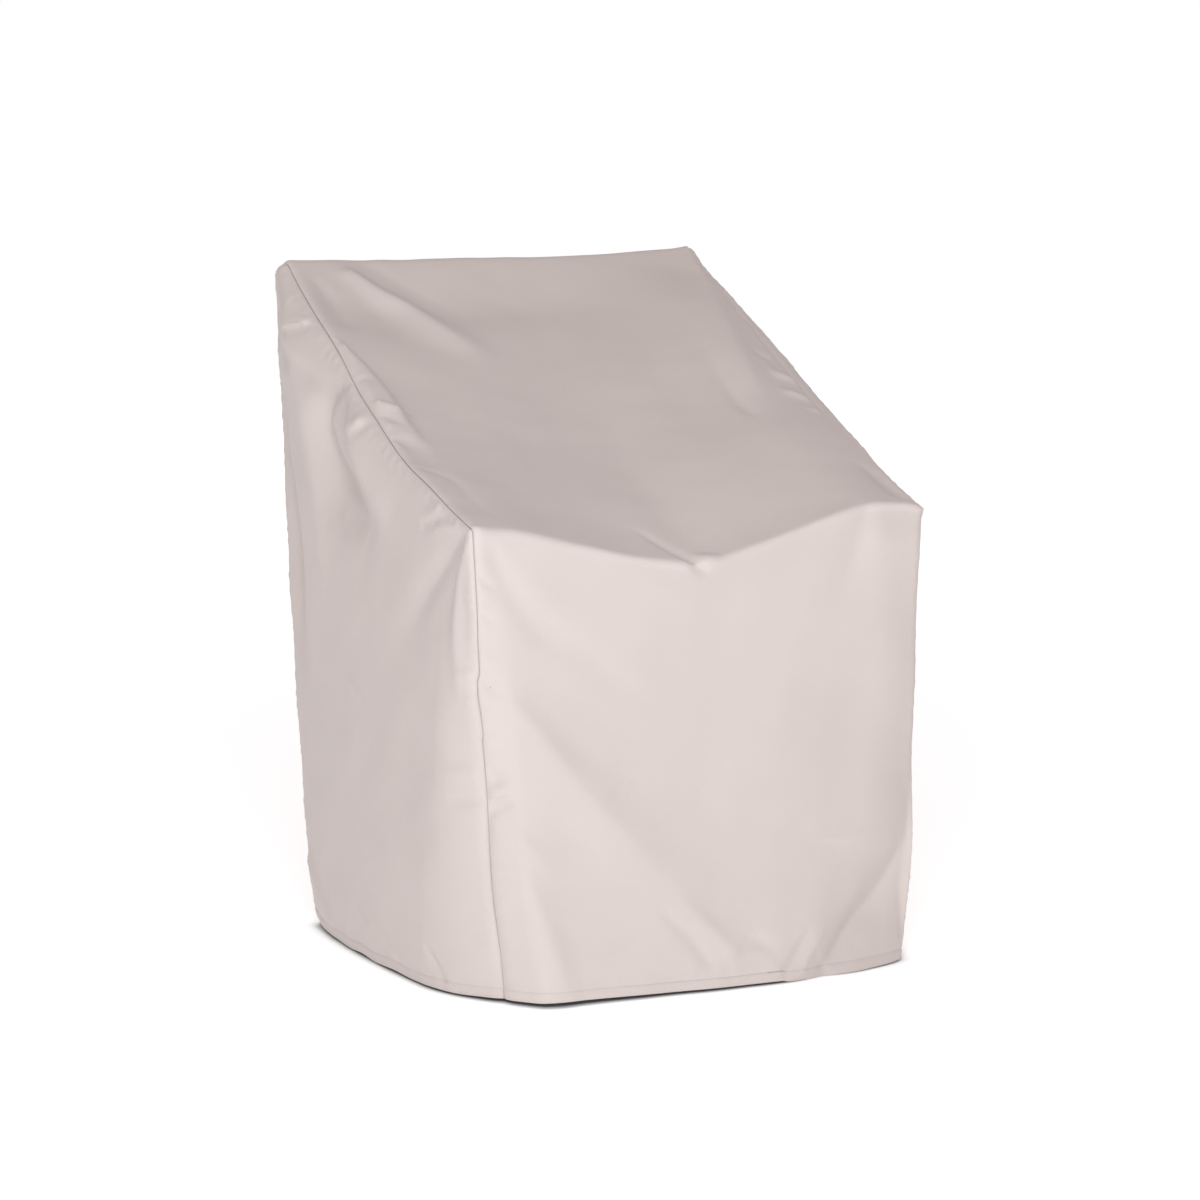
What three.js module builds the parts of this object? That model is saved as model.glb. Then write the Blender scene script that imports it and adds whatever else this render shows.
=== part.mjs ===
// A fitted cover for an outdoor armchair, hanging over the chair that it hides.
//
// It is three pieces of coated polyester cloth, each one closed sheet of its own:
//   centre_panel  one strip that runs up the back, over the top edge, down the slope between the
//                 arms, over the front edge and down the front
//   left_panel    the side at -X, sewn to the strip along the back, the slope and the front
//   right_panel   its twin at +X
// Millimetres, +Z up. The front faces -Y and +X is to the right from the front. The sizes below are
// measured from the middle of the chair, at the floor. At the end the cover is moved so that its
// origin is in the middle of it, at the height of the lowest point of the hem.
//
// The strip is made of columns that run along it. A column starts as a path with two sharp
// corners, at the top edge and at the front edge, which a moving average then rolls. Its first
// and last columns are the two seams, and the side panels hang between them.

import * as THREE from 'three';

// Driving sizes.
const topY = 338; // the top edge, at the back
const frontY = -308; // the front edge, at the arms
const hemZ = 2; // the hem's height above the floor
const cornerLift = 12; // the hem is lifted at the back corner on the left
const liftReach = 38;
const topHalfWidth = 318;
const frontHalfWidth = 331;
const topRoll = 32; // half the length of cloth that bends over the top edge
const frontRoll = 17; // the same at the front edge
const rollSamples = 9;
const seamRadius = 14; // bend of the cloth along a seam
const seamGap = 0.3; // clearance between two panels
const clothThickness = 1.6;
const hemThickness = 2.8; // the turned hem is doubled
const hemDepth = 15;
const hemStep = 2; // the hem's edge, along the cloth

// How far the cloth bellies out between its corners, at the hem and half way up the back.
const backBow = 24;
const backBelly = 5;
const sideBow = 48;

// How steeply each belly and sag sets in, as the power of a share.
const power = {
  backAcross: 6,
  backDown: 1.4,
  frontSag: 1.3,
  topSag: 3,
  frontDown: 1.25,
  sideAcross: 4,
  sideDown: 1.3,
  cornerLift: 4,
};

// How a seam lies on its bend, in degrees from the strip's own normal. The right seam turns from
// the top of the bend on the slope to its side on the front, over leanTurn of its length.
const leftLean = 45;
const rightLeanSlope = 15;
const rightLeanFront = 70;
const leanTurn = 120;

const holdWidth = 24; // folds die away over this distance from a seam
const swellWidth = 20; // the right panel's swell beside the slope rises over this distance
const swellFade = 380; // and dies away over this one

// Grid lines of the panels. The first line beside a seam or a rolled edge lies close to it.
const cellsAcross = 32;
const cellsUpright = 21;
const cellsSlope = 27;
const edgeLine = 11;
const pathSteps = 120; // steps of a column's sharp path, in each of its three stretches

const clothMaterial = {
  color: 0xd3c9c2,
  roughness: 0.62,
  metalness: 0,
  side: THREE.FrontSide,
};

// A table has named columns. Its first column is the key that its rows are ordered by.
function table(columns, rows) {
  const ordered = rows[0][0] < rows[rows.length - 1][0] ? rows : [...rows].reverse();
  return { columns, rows: ordered };
}

// Seam on the slope, by depth: its height on each side, and how far the right panel swells out
// beside it.
const slopeSeam = table(
  ['y', 'leftZ', 'rightZ', 'swell'],
  [
    [338, 944, 964, 0],
    [285, 906, 925, 0],
    [215, 862, 883, 8],
    [170, 836, 854, 13],
    [80, 775, 799, 19],
    [30, 743, 769, 20],
    [-10, 719, 746, 19],
    [-50, 698, 724, 18],
    [-110, 671, 698, 9],
    [-175, 648, 665, 2],
    [-240, 624, 633, 0],
    [-285, 610, 614, 0],
    [-308, 603, 606, 0],
  ],
);

// Seams down the front, by height.
const frontSeam = table(
  ['z', 'leftX', 'rightX', 'leftY', 'rightY'],
  [
    [4, -288, 300, -300, -298],
    [60, -295, 307, -305, -300],
    [150, -305, 314, -303, -300],
    [290, -313, 317, -303, -300],
    [400, -321, 322, -302, -300],
    [500, -324, 326, -306, -300],
    [610, -331, 331, -308, -304],
  ],
);

// Seams down the back, by height.
const backSeam = table(
  ['z', 'leftX', 'rightX', 'y'],
  [
    [4, -289, 292, 302],
    [40, -294, 296, 306],
    [145, -302, 306, 313],
    [350, -311, 315, 321],
    [480, -314, 318, 325],
    [615, -314, 319, 330],
    [760, -318, 318, 334],
    [850, -324, 318, 338],
    [915, -326, 318, 340],
    [950, -319, 318, 338],
  ],
);

// The front edge sags between the two arms.
const frontEdge = table(
  ['x', 'z'],
  [
    [-331, 603],
    [-300, 605],
    [-275, 606],
    [-225, 596],
    [-135, 569],
    [-30, 551],
    [60, 561],
    [160, 590],
    [245, 616],
    [303, 616],
    [331, 606],
  ],
);

const topEdge = table(
  ['x', 'z'],
  [
    [-318, 944],
    [-210, 944],
    [0, 948],
    [130, 951],
    [275, 960],
    [318, 964],
  ],
);

// How far the front hem stands forward of the front edge. The two ends are the corners.
const frontBow = table(
  ['x', 'forward'],
  [
    [-288, 0],
    [-270, 30],
    [-252, 52],
    [-200, 56],
    [0, 60],
    [122, 60],
    [202, 48],
    [262, 24],
    [300, 0],
  ],
);

// Folds. Each one runs along a curve of three points, start, middle and end. It stands out of the
// cloth by rise, or goes in where rise is negative, and wide is the distance over which it dies
// away. On the strip a point is x and the distance below the front edge, so that the slope has
// negative distances. On a side panel it is y and z.
const foldColumns = [
  'startA', 'startB', 'middleA', 'middleB', 'endA', 'endB',
  'riseStart', 'riseEnd', 'wideStart', 'wideEnd',
];

const stripFolds = table(foldColumns, [
  // on the slope
  [-219, -690, 16, -640, 234, -696, 5, 4, 22, 26], // roll below the top edge
  [-80, -722, 80, -716, 240, -724, -4, -4, 16, 16], // hollow between the roll and the edge
  [-225, -701, -160, -615, -100, -540, -7, -2, 16, 22], // long crease from the left corner
  [-262, -677, -185, -575, -126, -498, 7, 2, 18, 24], // and the ridge under it
  [-303, -680, -298, -610, -296, -540, -5, -5, 15, 15], // trough beside the left seam
  [-300, -528, -274, -420, -280, -275, -9, -5, 15, 18], // crease by the left arm
  [-315, -267, -300, -250, -290, -225, -5, -6, 18, 20],
  [-308, -190, -290, -120, -288, -25, -5, -4, 14, 18], // crease down to the left corner
  [300, -700, 268, -500, 232, -290, 7, 9, 26, 34], // long tongue on the right
  [305, -630, 300, -500, 300, -400, -7, -6, 15, 18], // and the crease beside it
  [308, -110, 305, -60, 300, -25, -6, -4, 20, 18], // hollow behind the right corner
  [-65, -53, -35, -25, -17, 9, -6, -8, 14, 14], // pinch in the middle of the front edge
  // on the front
  [-299, 38, -272, 95, -178, 142, -6, -2, 15, 28], // crease under the left arm
  [-276, 8, -268, 25, -259, 42, 4, 3, 15, 15],
  [-315, 192, -215, 212, -19, 461, -9, -4, 22, 40], // long diagonal trough
  [-300, 222, -250, 262, -158, 395, 6, 3, 18, 30], // and the ridge under it
  [-96, 432, -33, 462, 9, 522, 6, 5, 15, 16], // short ridge above the hem
  [31, 255, -20, 295, -65, 342, -3, -3, 22, 24],
  [-309, 374, -292, 440, -255, 592, 5, 15, 15, 26], // flare of the left corner
  [-304, 470, -294, 530, -285, 595, -4, -9, 14, 16], // hollow between it and the seam
  [-256, 480, -236, 530, -226, 592, -3, -6, 20, 26],
  [300, 365, 262, 465, 155, 575, -8, -7, 20, 22], // crease to the right corner of the hem
  [240, 12, 215, 90, 120, 190, -5, -2, 16, 28], // crease under the right arm
  [276, 70, 280, 220, 284, 380, 4, 4, 22, 22],
  // on the back
  [-210, -905, -190, -1150, -205, -1400, -5, -8, 34, 46],
  [120, -860, 150, -1100, 110, -1380, -4, -7, 36, 44],
  [-40, -1120, -30, -1300, -50, -1600, 5, 9, 40, 48],
  [230, -1300, 225, -1450, 240, -1620, -4, -8, 30, 36],
]);

const leftFolds = table(foldColumns, [
  [85, 775, 165, 705, -25, 585, -10, -4, 16, 22], // trough under the slope
  [-298, 600, -220, 530, -120, 440, -10, -3, 15, 28], // trough from the front corner
  [-275, 505, -262, 300, -270, 90, 4, 4, 22, 24],
  [322, 820, 308, 700, 195, 565, -6, -4, 20, 24], // the hollow along the back edge
  [322, 716, 275, 590, 187, 452, 9, 4, 15, 20], // and the crest below it
  [300, 600, 235, 505, 240, 420, -8, -4, 20, 24],
  [-205, 70, -200, 40, -198, 4, -3, -7, 16, 18],
  [-120, 90, -128, 50, -132, 4, 2, 5, 20, 22],
  [20, 110, 10, 60, 0, 4, -2, -5, 22, 26],
]);

const rightFolds = table(foldColumns, [
  [120, 790, 130, 690, 10, 560, -9, -4, 18, 26],
  [-290, 590, -215, 500, -170, 400, -8, -3, 16, 28],
  [318, 700, 260, 560, 200, 400, 7, 4, 18, 24],
  [60, 200, 40, 100, 30, 4, -3, -6, 28, 32],
  [-160, 160, -150, 80, -155, 4, 3, 6, 26, 30],
]);

const mix = (from, to, share) => from + (to - from) * share;
const clamp = (value, low, high) => Math.min(Math.max(value, low), high);
const smoothStep = (share) => share * share * (3 - 2 * share);

// Shares of a length for the lines of a grid: some given ones at each end, and even ones between.
function gridShares(cells, start, end) {
  const from = start[start.length - 1];
  const evenCells = cells - (start.length - 1) - (end.length - 1);
  const even = Array.from({ length: evenCells - 1 }, (_, index) =>
    mix(from, end[0], (index + 1) / evenCells),
  );
  return [...start, ...even, ...end];
}

// Reads one column of a table at a key, on a smooth curve through its rows.
function read(source, column, key) {
  const { columns, rows } = source;
  const index = columns.indexOf(column);
  const last = rows.length - 1;
  const slopeAt = (row) => {
    const before = rows[Math.max(row - 1, 0)];
    const after = rows[Math.min(row + 1, last)];
    return (after[index] - before[index]) / (after[0] - before[0]);
  };
  const at = clamp(key, rows[0][0], rows[last][0]);
  let row = 0;
  while (row < last - 1 && rows[row + 1][0] <= at) row += 1;
  const span = rows[row + 1][0] - rows[row][0];
  const t = (at - rows[row][0]) / span;
  const startShare = 2 * t ** 3 - 3 * t ** 2 + 1;
  const startSlope = (t ** 3 - 2 * t ** 2 + t) * span;
  const endSlope = (t ** 3 - t ** 2) * span;
  return (
    startShare * rows[row][index] +
    (1 - startShare) * rows[row + 1][index] +
    startSlope * slopeAt(row) +
    endSlope * slopeAt(row + 1)
  );
}

// How high the hem is lifted, at a distance from the lifted corner.
const liftAt = (fromCorner) => cornerLift * Math.exp(-((fromCorner / liftReach) ** 2));

// The sharp path of a column: up the back, down the slope and down the front.
function sharpPath(across) {
  const belly = 1 - Math.abs(2 * across - 1) ** power.backAcross;
  const topX = mix(-topHalfWidth, topHalfWidth, across);
  const edgeX = mix(-frontHalfWidth, frontHalfWidth, across);
  const topZ = read(topEdge, 'z', topX);
  const edgeZ = read(frontEdge, 'z', edgeX);
  const seamTopZ = mix(read(slopeSeam, 'leftZ', topY), read(slopeSeam, 'rightZ', topY), across);
  const seamEdgeZ = mix(
    read(slopeSeam, 'leftZ', frontY),
    read(slopeSeam, 'rightZ', frontY),
    across,
  );
  const hemX = mix(read(frontSeam, 'leftX', hemZ), read(frontSeam, 'rightX', hemZ), across);
  const forward = read(frontBow, 'forward', hemX);
  const lift = liftAt(across * 2 * topHalfWidth);

  const back = (t) => {
    const z = mix(hemZ + lift, topZ, t);
    const x = mix(read(backSeam, 'leftX', z), read(backSeam, 'rightX', z), across);
    const bow = backBow * (1 - t) ** power.backDown + backBelly * Math.sin(Math.PI * t);
    return new THREE.Vector3(x, read(backSeam, 'y', z) + belly * bow, z);
  };
  const slope = (t) => {
    const y = mix(topY, frontY, t);
    const seamZ = mix(read(slopeSeam, 'leftZ', y), read(slopeSeam, 'rightZ', y), across);
    const frontSag = (seamEdgeZ - edgeZ) * t ** power.frontSag;
    const topSag = (seamTopZ - topZ) * (1 - t) ** power.topSag;
    return new THREE.Vector3(mix(topX, edgeX, t), y, seamZ - frontSag - topSag);
  };
  const front = (t) => {
    const z = mix(edgeZ, hemZ, t);
    const x = mix(read(frontSeam, 'leftX', z), read(frontSeam, 'rightX', z), across);
    const y = mix(read(frontSeam, 'leftY', z), read(frontSeam, 'rightY', z), across);
    return new THREE.Vector3(x, y - forward * t ** power.frontDown, z);
  };
  const points = [];
  for (const stretch of [back, slope, front]) {
    for (let step = points.length ? 1 : 0; step <= pathSteps; step += 1) {
      points.push(stretch(step / pathSteps));
    }
  }
  return points;
}

// One column of the strip, with its corners rolled.
class Column {
  constructor(across) {
    this.points = sharpPath(clamp(across, 0, 1));
    this.lengths = [0];
    for (let index = 1; index < this.points.length; index += 1) {
      const step = this.points[index].distanceTo(this.points[index - 1]);
      this.lengths.push(this.lengths[index - 1] + step);
    }
    this.top = this.lengths[pathSteps];
    this.edge = this.lengths[2 * pathSteps];
    this.end = this.lengths[3 * pathSteps];
  }

  sharp(length) {
    const { lengths, points } = this;
    const at = clamp(length, 0, this.end);
    let low = 0;
    let high = lengths.length - 1;
    while (high - low > 1) {
      const middle = (low + high) >> 1;
      if (lengths[middle] <= at) low = middle;
      else high = middle;
    }
    const share = (at - lengths[low]) / (lengths[high] - lengths[low]);
    return points[low].clone().lerp(points[high], share);
  }

  rolled(length) {
    const nearTop = length < (this.top + this.edge) / 2;
    const reach = Math.min(nearTop ? topRoll : frontRoll, length, this.end - length);
    const sum = new THREE.Vector3();
    for (let sample = 0; sample < rollSamples; sample += 1) {
      sum.add(this.sharp(length + reach * ((2 * sample) / (rollSamples - 1) - 1)));
    }
    return sum.divideScalar(rollSamples);
  }

  // Places along the column: rows up the back, then down the slope, then down the front.
  stations() {
    const slopeLength = this.edge - this.top;
    const fall = this.end - this.edge;
    const back = uprightShares(this.top).map((share) => share * this.top);
    const slope = slopeShares(slopeLength).map((share) => this.top + share * slopeLength);
    const front = uprightShares(fall).map((share) => this.end - share * fall);
    return [...back, ...slope.slice(1), ...front.reverse().slice(1)];
  }
}

const acrossShares = (width) =>
  gridShares(cellsAcross, [0, edgeLine / width], [1 - edgeLine / width, 1]);
const slopeShares = (length) =>
  gridShares(cellsSlope, [0, edgeLine / length], [1 - edgeLine / length, 1]);

// Shares of an upright length, from the hem up. The first rows are the turned hem.
const uprightShares = (length) =>
  gridShares(
    cellsUpright,
    [0, hemDepth / length, (hemDepth + hemStep) / length],
    [1 - edgeLine / length, 1],
  );

// The nearest place to a point on a line of points: its distance, and how far along the line.
function nearestOn(line, point) {
  let distance = Infinity;
  let place = 0;
  for (let index = 1; index < line.length; index += 1) {
    const start = line[index - 1];
    const run = start.map((value, axis) => line[index][axis] - value);
    const offset = start.map((value, axis) => point[axis] - value);
    const dot = (a, b) => a.reduce((sum, value, axis) => sum + value * b[axis], 0);
    const share = clamp(dot(offset, run) / dot(run, run), 0, 1);
    const away = Math.hypot(...offset.map((value, axis) => value - share * run[axis]));
    if (away < distance) {
      distance = away;
      place = index - 1 + share;
    }
  }
  return { distance, place };
}

const foldSteps = 12; // pieces of a fold's curve

function foldLine(row) {
  const [startA, startB, middleA, middleB, endA, endB] = row;
  return Array.from({ length: foldSteps + 1 }, (_, index) => {
    const t = index / foldSteps;
    const [start, middle, end] = [(1 - t) ** 2, 2 * t * (1 - t), t ** 2];
    return [
      start * startA + middle * middleA + end * endA,
      start * startB + middle * middleB + end * endB,
    ];
  });
}

// How far the folds of a table make the cloth stand out at a place on its panel.
function foldsRise(folds, a, b) {
  let rise = 0;
  for (const row of folds.rows) {
    const [riseStart, riseEnd, wideStart, wideEnd] = row.slice(6);
    const { distance, place } = nearestOn(foldLine(row), [a, b]);
    const wide = mix(wideStart, wideEnd, place / foldSteps);
    rise += mix(riseStart, riseEnd, place / foldSteps) * Math.exp(-((distance / wide) ** 2));
  }
  return rise;
}

// The bend along a seam. Each panel rises out of the seam until it is flat.
function seamLean(side, belowEdge) {
  const turned = smoothStep(clamp(belowEdge / leanTurn + 0.5, 0, 1));
  const degrees = side < 0 ? leftLean : mix(rightLeanSlope, rightLeanFront, turned);
  return THREE.MathUtils.degToRad(degrees);
}

function bendRise(fromSeam, lean) {
  const flat = seamRadius * Math.sin(lean);
  const left = flat - clamp(fromSeam, 0, flat);
  return Math.sqrt(seamRadius ** 2 - left ** 2) - seamRadius * Math.cos(lean);
}

// A quarter of a circle, from 0 up to 1.
const roundShare = (share) => Math.sqrt(1 - (1 - clamp(share, 0, 1)) ** 2);

// Folds die away into a seam, which holds the cloth.
const seamHold = (fromSeam) => smoothStep(clamp(fromSeam / holdWidth, 0, 1));

const thicknessAt = (fromHem) =>
  fromHem < hemDepth + hemStep / 2 ? hemThickness : clothThickness;

// The strip before its folds: at each place its point, outward normal, distance below the front
// edge and distance from the nearer hem.
const nudge = 0.004; // share of the width between a column and the two beside it
const normalReach = 2;

function stripColumn(across) {
  const column = new Column(across);
  const before = new Column(across - nudge);
  const after = new Column(across + nudge);
  const beforeStations = before.stations();
  const afterStations = after.stations();
  return column.stations().map((length, index) => {
    const point = column.rolled(length);
    const along = column.rolled(Math.min(length + normalReach, column.end));
    along.sub(column.rolled(Math.max(length - normalReach, 0)));
    const sideways = after.rolled(afterStations[index]);
    sideways.sub(before.rolled(beforeStations[index]));
    return {
      point,
      normal: along.cross(sideways).normalize(),
      belowEdge: length - column.edge,
      fromHem: Math.min(length, column.end - length),
    };
  });
}

const strip = acrossShares(2 * frontHalfWidth).map(stripColumn);

// A seam as both of its panels use it: its tilted normal, and the direction to the side panel.
function seamOf(side) {
  const column = side < 0 ? strip[0] : strip[cellsAcross];
  return column.map((station, index) => {
    const next = column[Math.min(index + 1, column.length - 1)].point;
    const last = column[Math.max(index - 1, 0)].point;
    const along = next.clone().sub(last).normalize();
    const lean = seamLean(side, station.belowEdge);
    const normal = station.normal.clone().multiplyScalar(Math.cos(lean));
    normal.x += side * Math.sin(lean);
    normal.addScaledVector(along, -normal.dot(along)).normalize();
    const toSide = along.clone().cross(normal).normalize();
    if (toSide.x * side < 0) toSide.negate();
    return { ...station, lean, normal, toSide };
  });
}

const seams = { left: seamOf(-1), right: seamOf(1) };

// Outward normals of a grid, from the neighbours of each point.
function gridNormals(grid) {
  const lastLine = grid.length - 1;
  const lastPlace = grid[0].length - 1;
  return grid.map((line, i) =>
    line.map((_, j) => {
      const across = grid[Math.min(i + 1, lastLine)][j].clone();
      across.sub(grid[Math.max(i - 1, 0)][j]);
      const along = line[Math.min(j + 1, lastPlace)].clone();
      along.sub(line[Math.max(j - 1, 0)]);
      return along.cross(across).normalize();
    }),
  );
}

// A closed sheet between two grids of points, the cloth's face and its wrong side.
function sheetGeometry(face, wrong) {
  const lines = face.length;
  const places = face[0].length;
  const positions = [];
  for (const grid of [face, wrong]) {
    for (const point of grid.flat()) positions.push(point.x, point.y, point.z);
  }
  const at = (layer, i, j) => (layer * lines + i) * places + j;
  const indices = [];
  const quad = (a, b, c, d) => indices.push(a, b, c, a, c, d);
  for (let i = 0; i < lines - 1; i += 1) {
    for (let j = 0; j < places - 1; j += 1) {
      const rising = face[i][j].distanceTo(face[i + 1][j + 1]);
      const falling = face[i + 1][j].distanceTo(face[i][j + 1]);
      for (const layer of [0, 1]) {
        const ring = [[i, j], [i, j + 1], [i + 1, j + 1], [i + 1, j]];
        if (falling < rising) ring.push(ring.shift());
        const corners = ring.map((corner) => at(layer, ...corner));
        if (layer === 1) quad(corners[0], corners[3], corners[2], corners[1]);
        else quad(...corners);
      }
    }
  }
  const border = [];
  for (let i = 0; i < lines - 1; i += 1) border.push([i, 0]);
  for (let j = 0; j < places - 1; j += 1) border.push([lines - 1, j]);
  for (let i = lines - 1; i > 0; i -= 1) border.push([i, places - 1]);
  for (let j = places - 1; j > 0; j -= 1) border.push([0, j]);
  border.forEach(([i, j], index) => {
    const [k, l] = border[(index + 1) % border.length];
    quad(at(0, i, j), at(0, k, l), at(1, k, l), at(1, i, j));
  });
  const geometry = new THREE.BufferGeometry();
  geometry.setAttribute('position', new THREE.Float32BufferAttribute(positions, 3));
  geometry.setIndex(indices);
  geometry.computeVertexNormals();
  return geometry;
}

// One panel: its wrong side lies a cloth's thickness inside its face, and where an edge is sewn,
// both layers stand half the gap from the seam. seamAt gives the station of a sewn place.
function panelMesh(name, face, fromHemAt, seamAt, towards) {
  const normals = gridNormals(face);
  const wrong = face.map((line, i) =>
    line.map((point, j) => {
      const station = seamAt(i, j);
      if (station) {
        point.copy(station.point).addScaledVector(station.toSide, (towards * seamGap) / 2);
      }
      const inward = station ? station.normal : normals[i][j];
      return point.clone().addScaledVector(inward, -thicknessAt(fromHemAt(i, j)));
    }),
  );
  const mesh = new THREE.Mesh(
    sheetGeometry(face, wrong),
    new THREE.MeshStandardMaterial(clothMaterial),
  );
  mesh.name = name;
  return mesh;
}

function centrePanel(name) {
  const face = strip.map((column) =>
    column.map(({ point, normal, belowEdge }, j) => {
      const fromLeft = point.x - seams.left[j].point.x;
      const fromRight = seams.right[j].point.x - point.x;
      const toRight = smoothStep(fromLeft / (fromLeft + fromRight));
      const bendLeft = bendRise(fromLeft, seams.left[j].lean);
      const bendRight = bendRise(fromRight, seams.right[j].lean);
      const hold = seamHold(Math.min(fromLeft, fromRight));
      const folds = hold * foldsRise(stripFolds, point.x, belowEdge);
      return point.clone().addScaledVector(normal, mix(bendLeft, bendRight, toRight) + folds);
    }),
  );
  const fromHemAt = (i, j) => strip[i][j].fromHem;
  const seamAt = (i, j) => {
    if (i === 0) return seams.left[j];
    return i === cellsAcross ? seams.right[j] : null;
  };
  return panelMesh(name, face, fromHemAt, seamAt, -1);
}

// A side panel hangs from its seam. Its grid blends its four edges, which are the front seam, the
// slope's seam, the back seam and the hem, and it bellies out towards the hem.
function sidePanel(name, side, folds) {
  const seam = side < 0 ? seams.left : seams.right;
  const back = seam.slice(0, cellsUpright + 1);
  const slope = seam.slice(cellsUpright, cellsUpright + cellsSlope + 1).reverse();
  const front = seam.slice(cellsUpright + cellsSlope).reverse();
  const backShares = uprightShares(back[cellsUpright].belowEdge - back[0].belowEdge);
  const frontShares = uprightShares(front[0].belowEdge - front[cellsUpright].belowEdge);
  const depths = slopeShares(slope[0].belowEdge - slope[cellsSlope].belowEdge);
  const between = (start, end, share) => start.point.clone().lerp(end.point, share);
  const seamPoints = seam.map(({ point }) => point.toArray());

  const face = slope.map((top, i) => {
    const depth = depths[i];
    return front.map((_, j) => {
      const height = mix(frontShares[j], backShares[j], depth);
      const hem = between(front[0], back[0], depth);
      const corners = hem.clone().lerp(between(slope[0], slope[cellsSlope], depth), height);
      const point = hem.lerp(top.point, height).add(between(front[j], back[j], depth)).sub(corners);
      if (side < 0) {
        const lift = liftAt((1 - depth) * 2 * topY) - depth * cornerLift;
        point.z += lift * (1 - height) ** power.cornerLift;
      }
      const { distance, place } = nearestOn(seamPoints, point.toArray());
      const nearest = seam[Math.round(place)];
      const swell = side < 0 ? 0 : read(slopeSeam, 'swell', nearest.point.y);
      const swellShare =
        roundShare(distance / swellWidth) * (1 - smoothStep(clamp(distance / swellFade, 0, 1)));
      const bend = bendRise(distance, Math.PI / 2 - nearest.lean) + swell * swellShare;
      const belly = 1 - Math.abs(2 * depth - 1) ** power.sideAcross;
      const bow = sideBow * belly * (1 - height) ** power.sideDown;
      const rise = foldsRise(folds, point.y, point.z) * seamHold(distance);
      point.x += side * (bend + bow + rise);
      return point;
    });
  });
  // The right panel's lines run the other way, so that its face is outside too.
  const lines = slope.map((_, i) => i);
  if (side > 0) lines.reverse();
  const stationAt = (i, j) => {
    if (i === 0) return front[j];
    if (i === cellsSlope) return back[j];
    return j === cellsUpright ? slope[i] : null;
  };
  return panelMesh(
    name,
    lines.map((line) => face[line]),
    (i, j) => front[j].fromHem,
    (i, j) => stationAt(lines[i], j),
    1,
  );
}

const cover = new THREE.Group();
cover.add(centrePanel('centre_panel'));
cover.add(sidePanel('left_panel', -1, leftFolds));
cover.add(sidePanel('right_panel', 1, rightFolds));

const bounds = new THREE.Box3().setFromObject(cover);
const middle = bounds.getCenter(new THREE.Vector3());
for (const { geometry } of cover.children) {
  geometry.translate(-middle.x, -middle.y, -bounds.min.z);
}

export default cover;
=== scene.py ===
"""A fitted weather cover for an outdoor armchair, draped over the chair that it hides.

The cover is three sewn pieces of coated polyester. The centre panel is one strip that runs up the
back, over the top edge, down the slope between the arms, over the front edge and down the front.
A side panel hangs from it on each side. The drape is worked out in millimetres from the middle of
the chair at the floor, and every mesh is made in metres in the part's own frame.
"""

import logging
import math
from collections.abc import Sequence
from dataclasses import dataclass, field
from enum import Enum

import bpy
import numpy as np
from mathutils import Matrix, Vector


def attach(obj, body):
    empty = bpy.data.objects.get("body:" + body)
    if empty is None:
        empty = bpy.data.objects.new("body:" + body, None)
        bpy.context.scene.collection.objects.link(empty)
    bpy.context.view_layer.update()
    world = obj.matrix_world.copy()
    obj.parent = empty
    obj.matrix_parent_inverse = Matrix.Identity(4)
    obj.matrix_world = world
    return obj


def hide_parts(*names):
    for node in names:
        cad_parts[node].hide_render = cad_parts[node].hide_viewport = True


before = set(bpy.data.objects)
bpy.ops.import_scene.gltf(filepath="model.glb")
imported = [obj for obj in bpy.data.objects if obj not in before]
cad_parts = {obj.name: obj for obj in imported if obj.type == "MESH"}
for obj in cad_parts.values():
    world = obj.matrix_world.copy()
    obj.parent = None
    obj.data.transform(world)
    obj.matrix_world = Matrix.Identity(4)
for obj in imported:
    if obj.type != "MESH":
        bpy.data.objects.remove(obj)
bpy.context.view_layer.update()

LOG = logging.getLogger("armchair_cover")
Array = np.ndarray

# The part's origin in millimetres, from the middle of the chair at the floor.
ORIGIN = np.array([5.77, -9.72, 1.56])
MM = 0.001
WHITE = (1, 1, 1, 1)
TINY = 1e-9


def mix(start: Array | float, end: Array | float, share: Array | float) -> Array | float:
    """Returns the value at a share of the way from start to end."""
    return start + (end - start) * share


def smooth_step(share: Array) -> Array:
    """Returns a share from 0 to 1 that starts and ends gently."""
    share = np.clip(share, 0, 1)
    return share * share * (3 - 2 * share)


def round_end(share: Array, reach: float) -> Array:
    """Rises from 0 to 1 along a round shoulder, and stays there past its reach."""
    return 1 - (1 - np.clip(share / reach, 0, 1)) ** 2


def unit(vectors: Array) -> Array:
    """Returns the vectors at a length of 1."""
    return vectors / np.maximum(np.linalg.norm(vectors, axis=-1, keepdims=True), TINY)


def dot(a: Array, b: Array) -> Array:
    """Returns the dot products of two rows of vectors, as a column."""
    return (a * b).sum(-1, keepdims=True)


def lengths_along(line: Array) -> Array:
    """Returns how far along a line of points each of them lies."""
    steps = np.linalg.norm(np.diff(line, axis=-2), axis=-1)
    return np.insert(np.cumsum(steps, -1), 0, 0, axis=-1)


def read_along(at: Array | float, lengths: Array, values: Array) -> Array:
    """Returns rows of values at places along a line, where the lengths are known."""
    return np.stack([np.interp(at, lengths, column) for column in values.T], -1)


def uneven_shares(length: float, start: tuple, end: tuple, pitch: float) -> Array:
    """Spaces the lines of a grid along a length, with close ones at its ends.

    Args:
        length: The length that the lines cover.
        start: Distances of the first lines from the start.
        end: Distances of the last lines from the end.
        pitch: The distance between the lines in the middle.

    Returns:
        The place of each line, as a share of the length.
    """
    first, last = max(start), length - max(end)
    even = np.linspace(first, last, round((last - first) / pitch) + 1)
    places = np.concatenate([sorted(start)[:-1], even, length - np.array(sorted(end)[-2::-1])])
    return places / length


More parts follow.
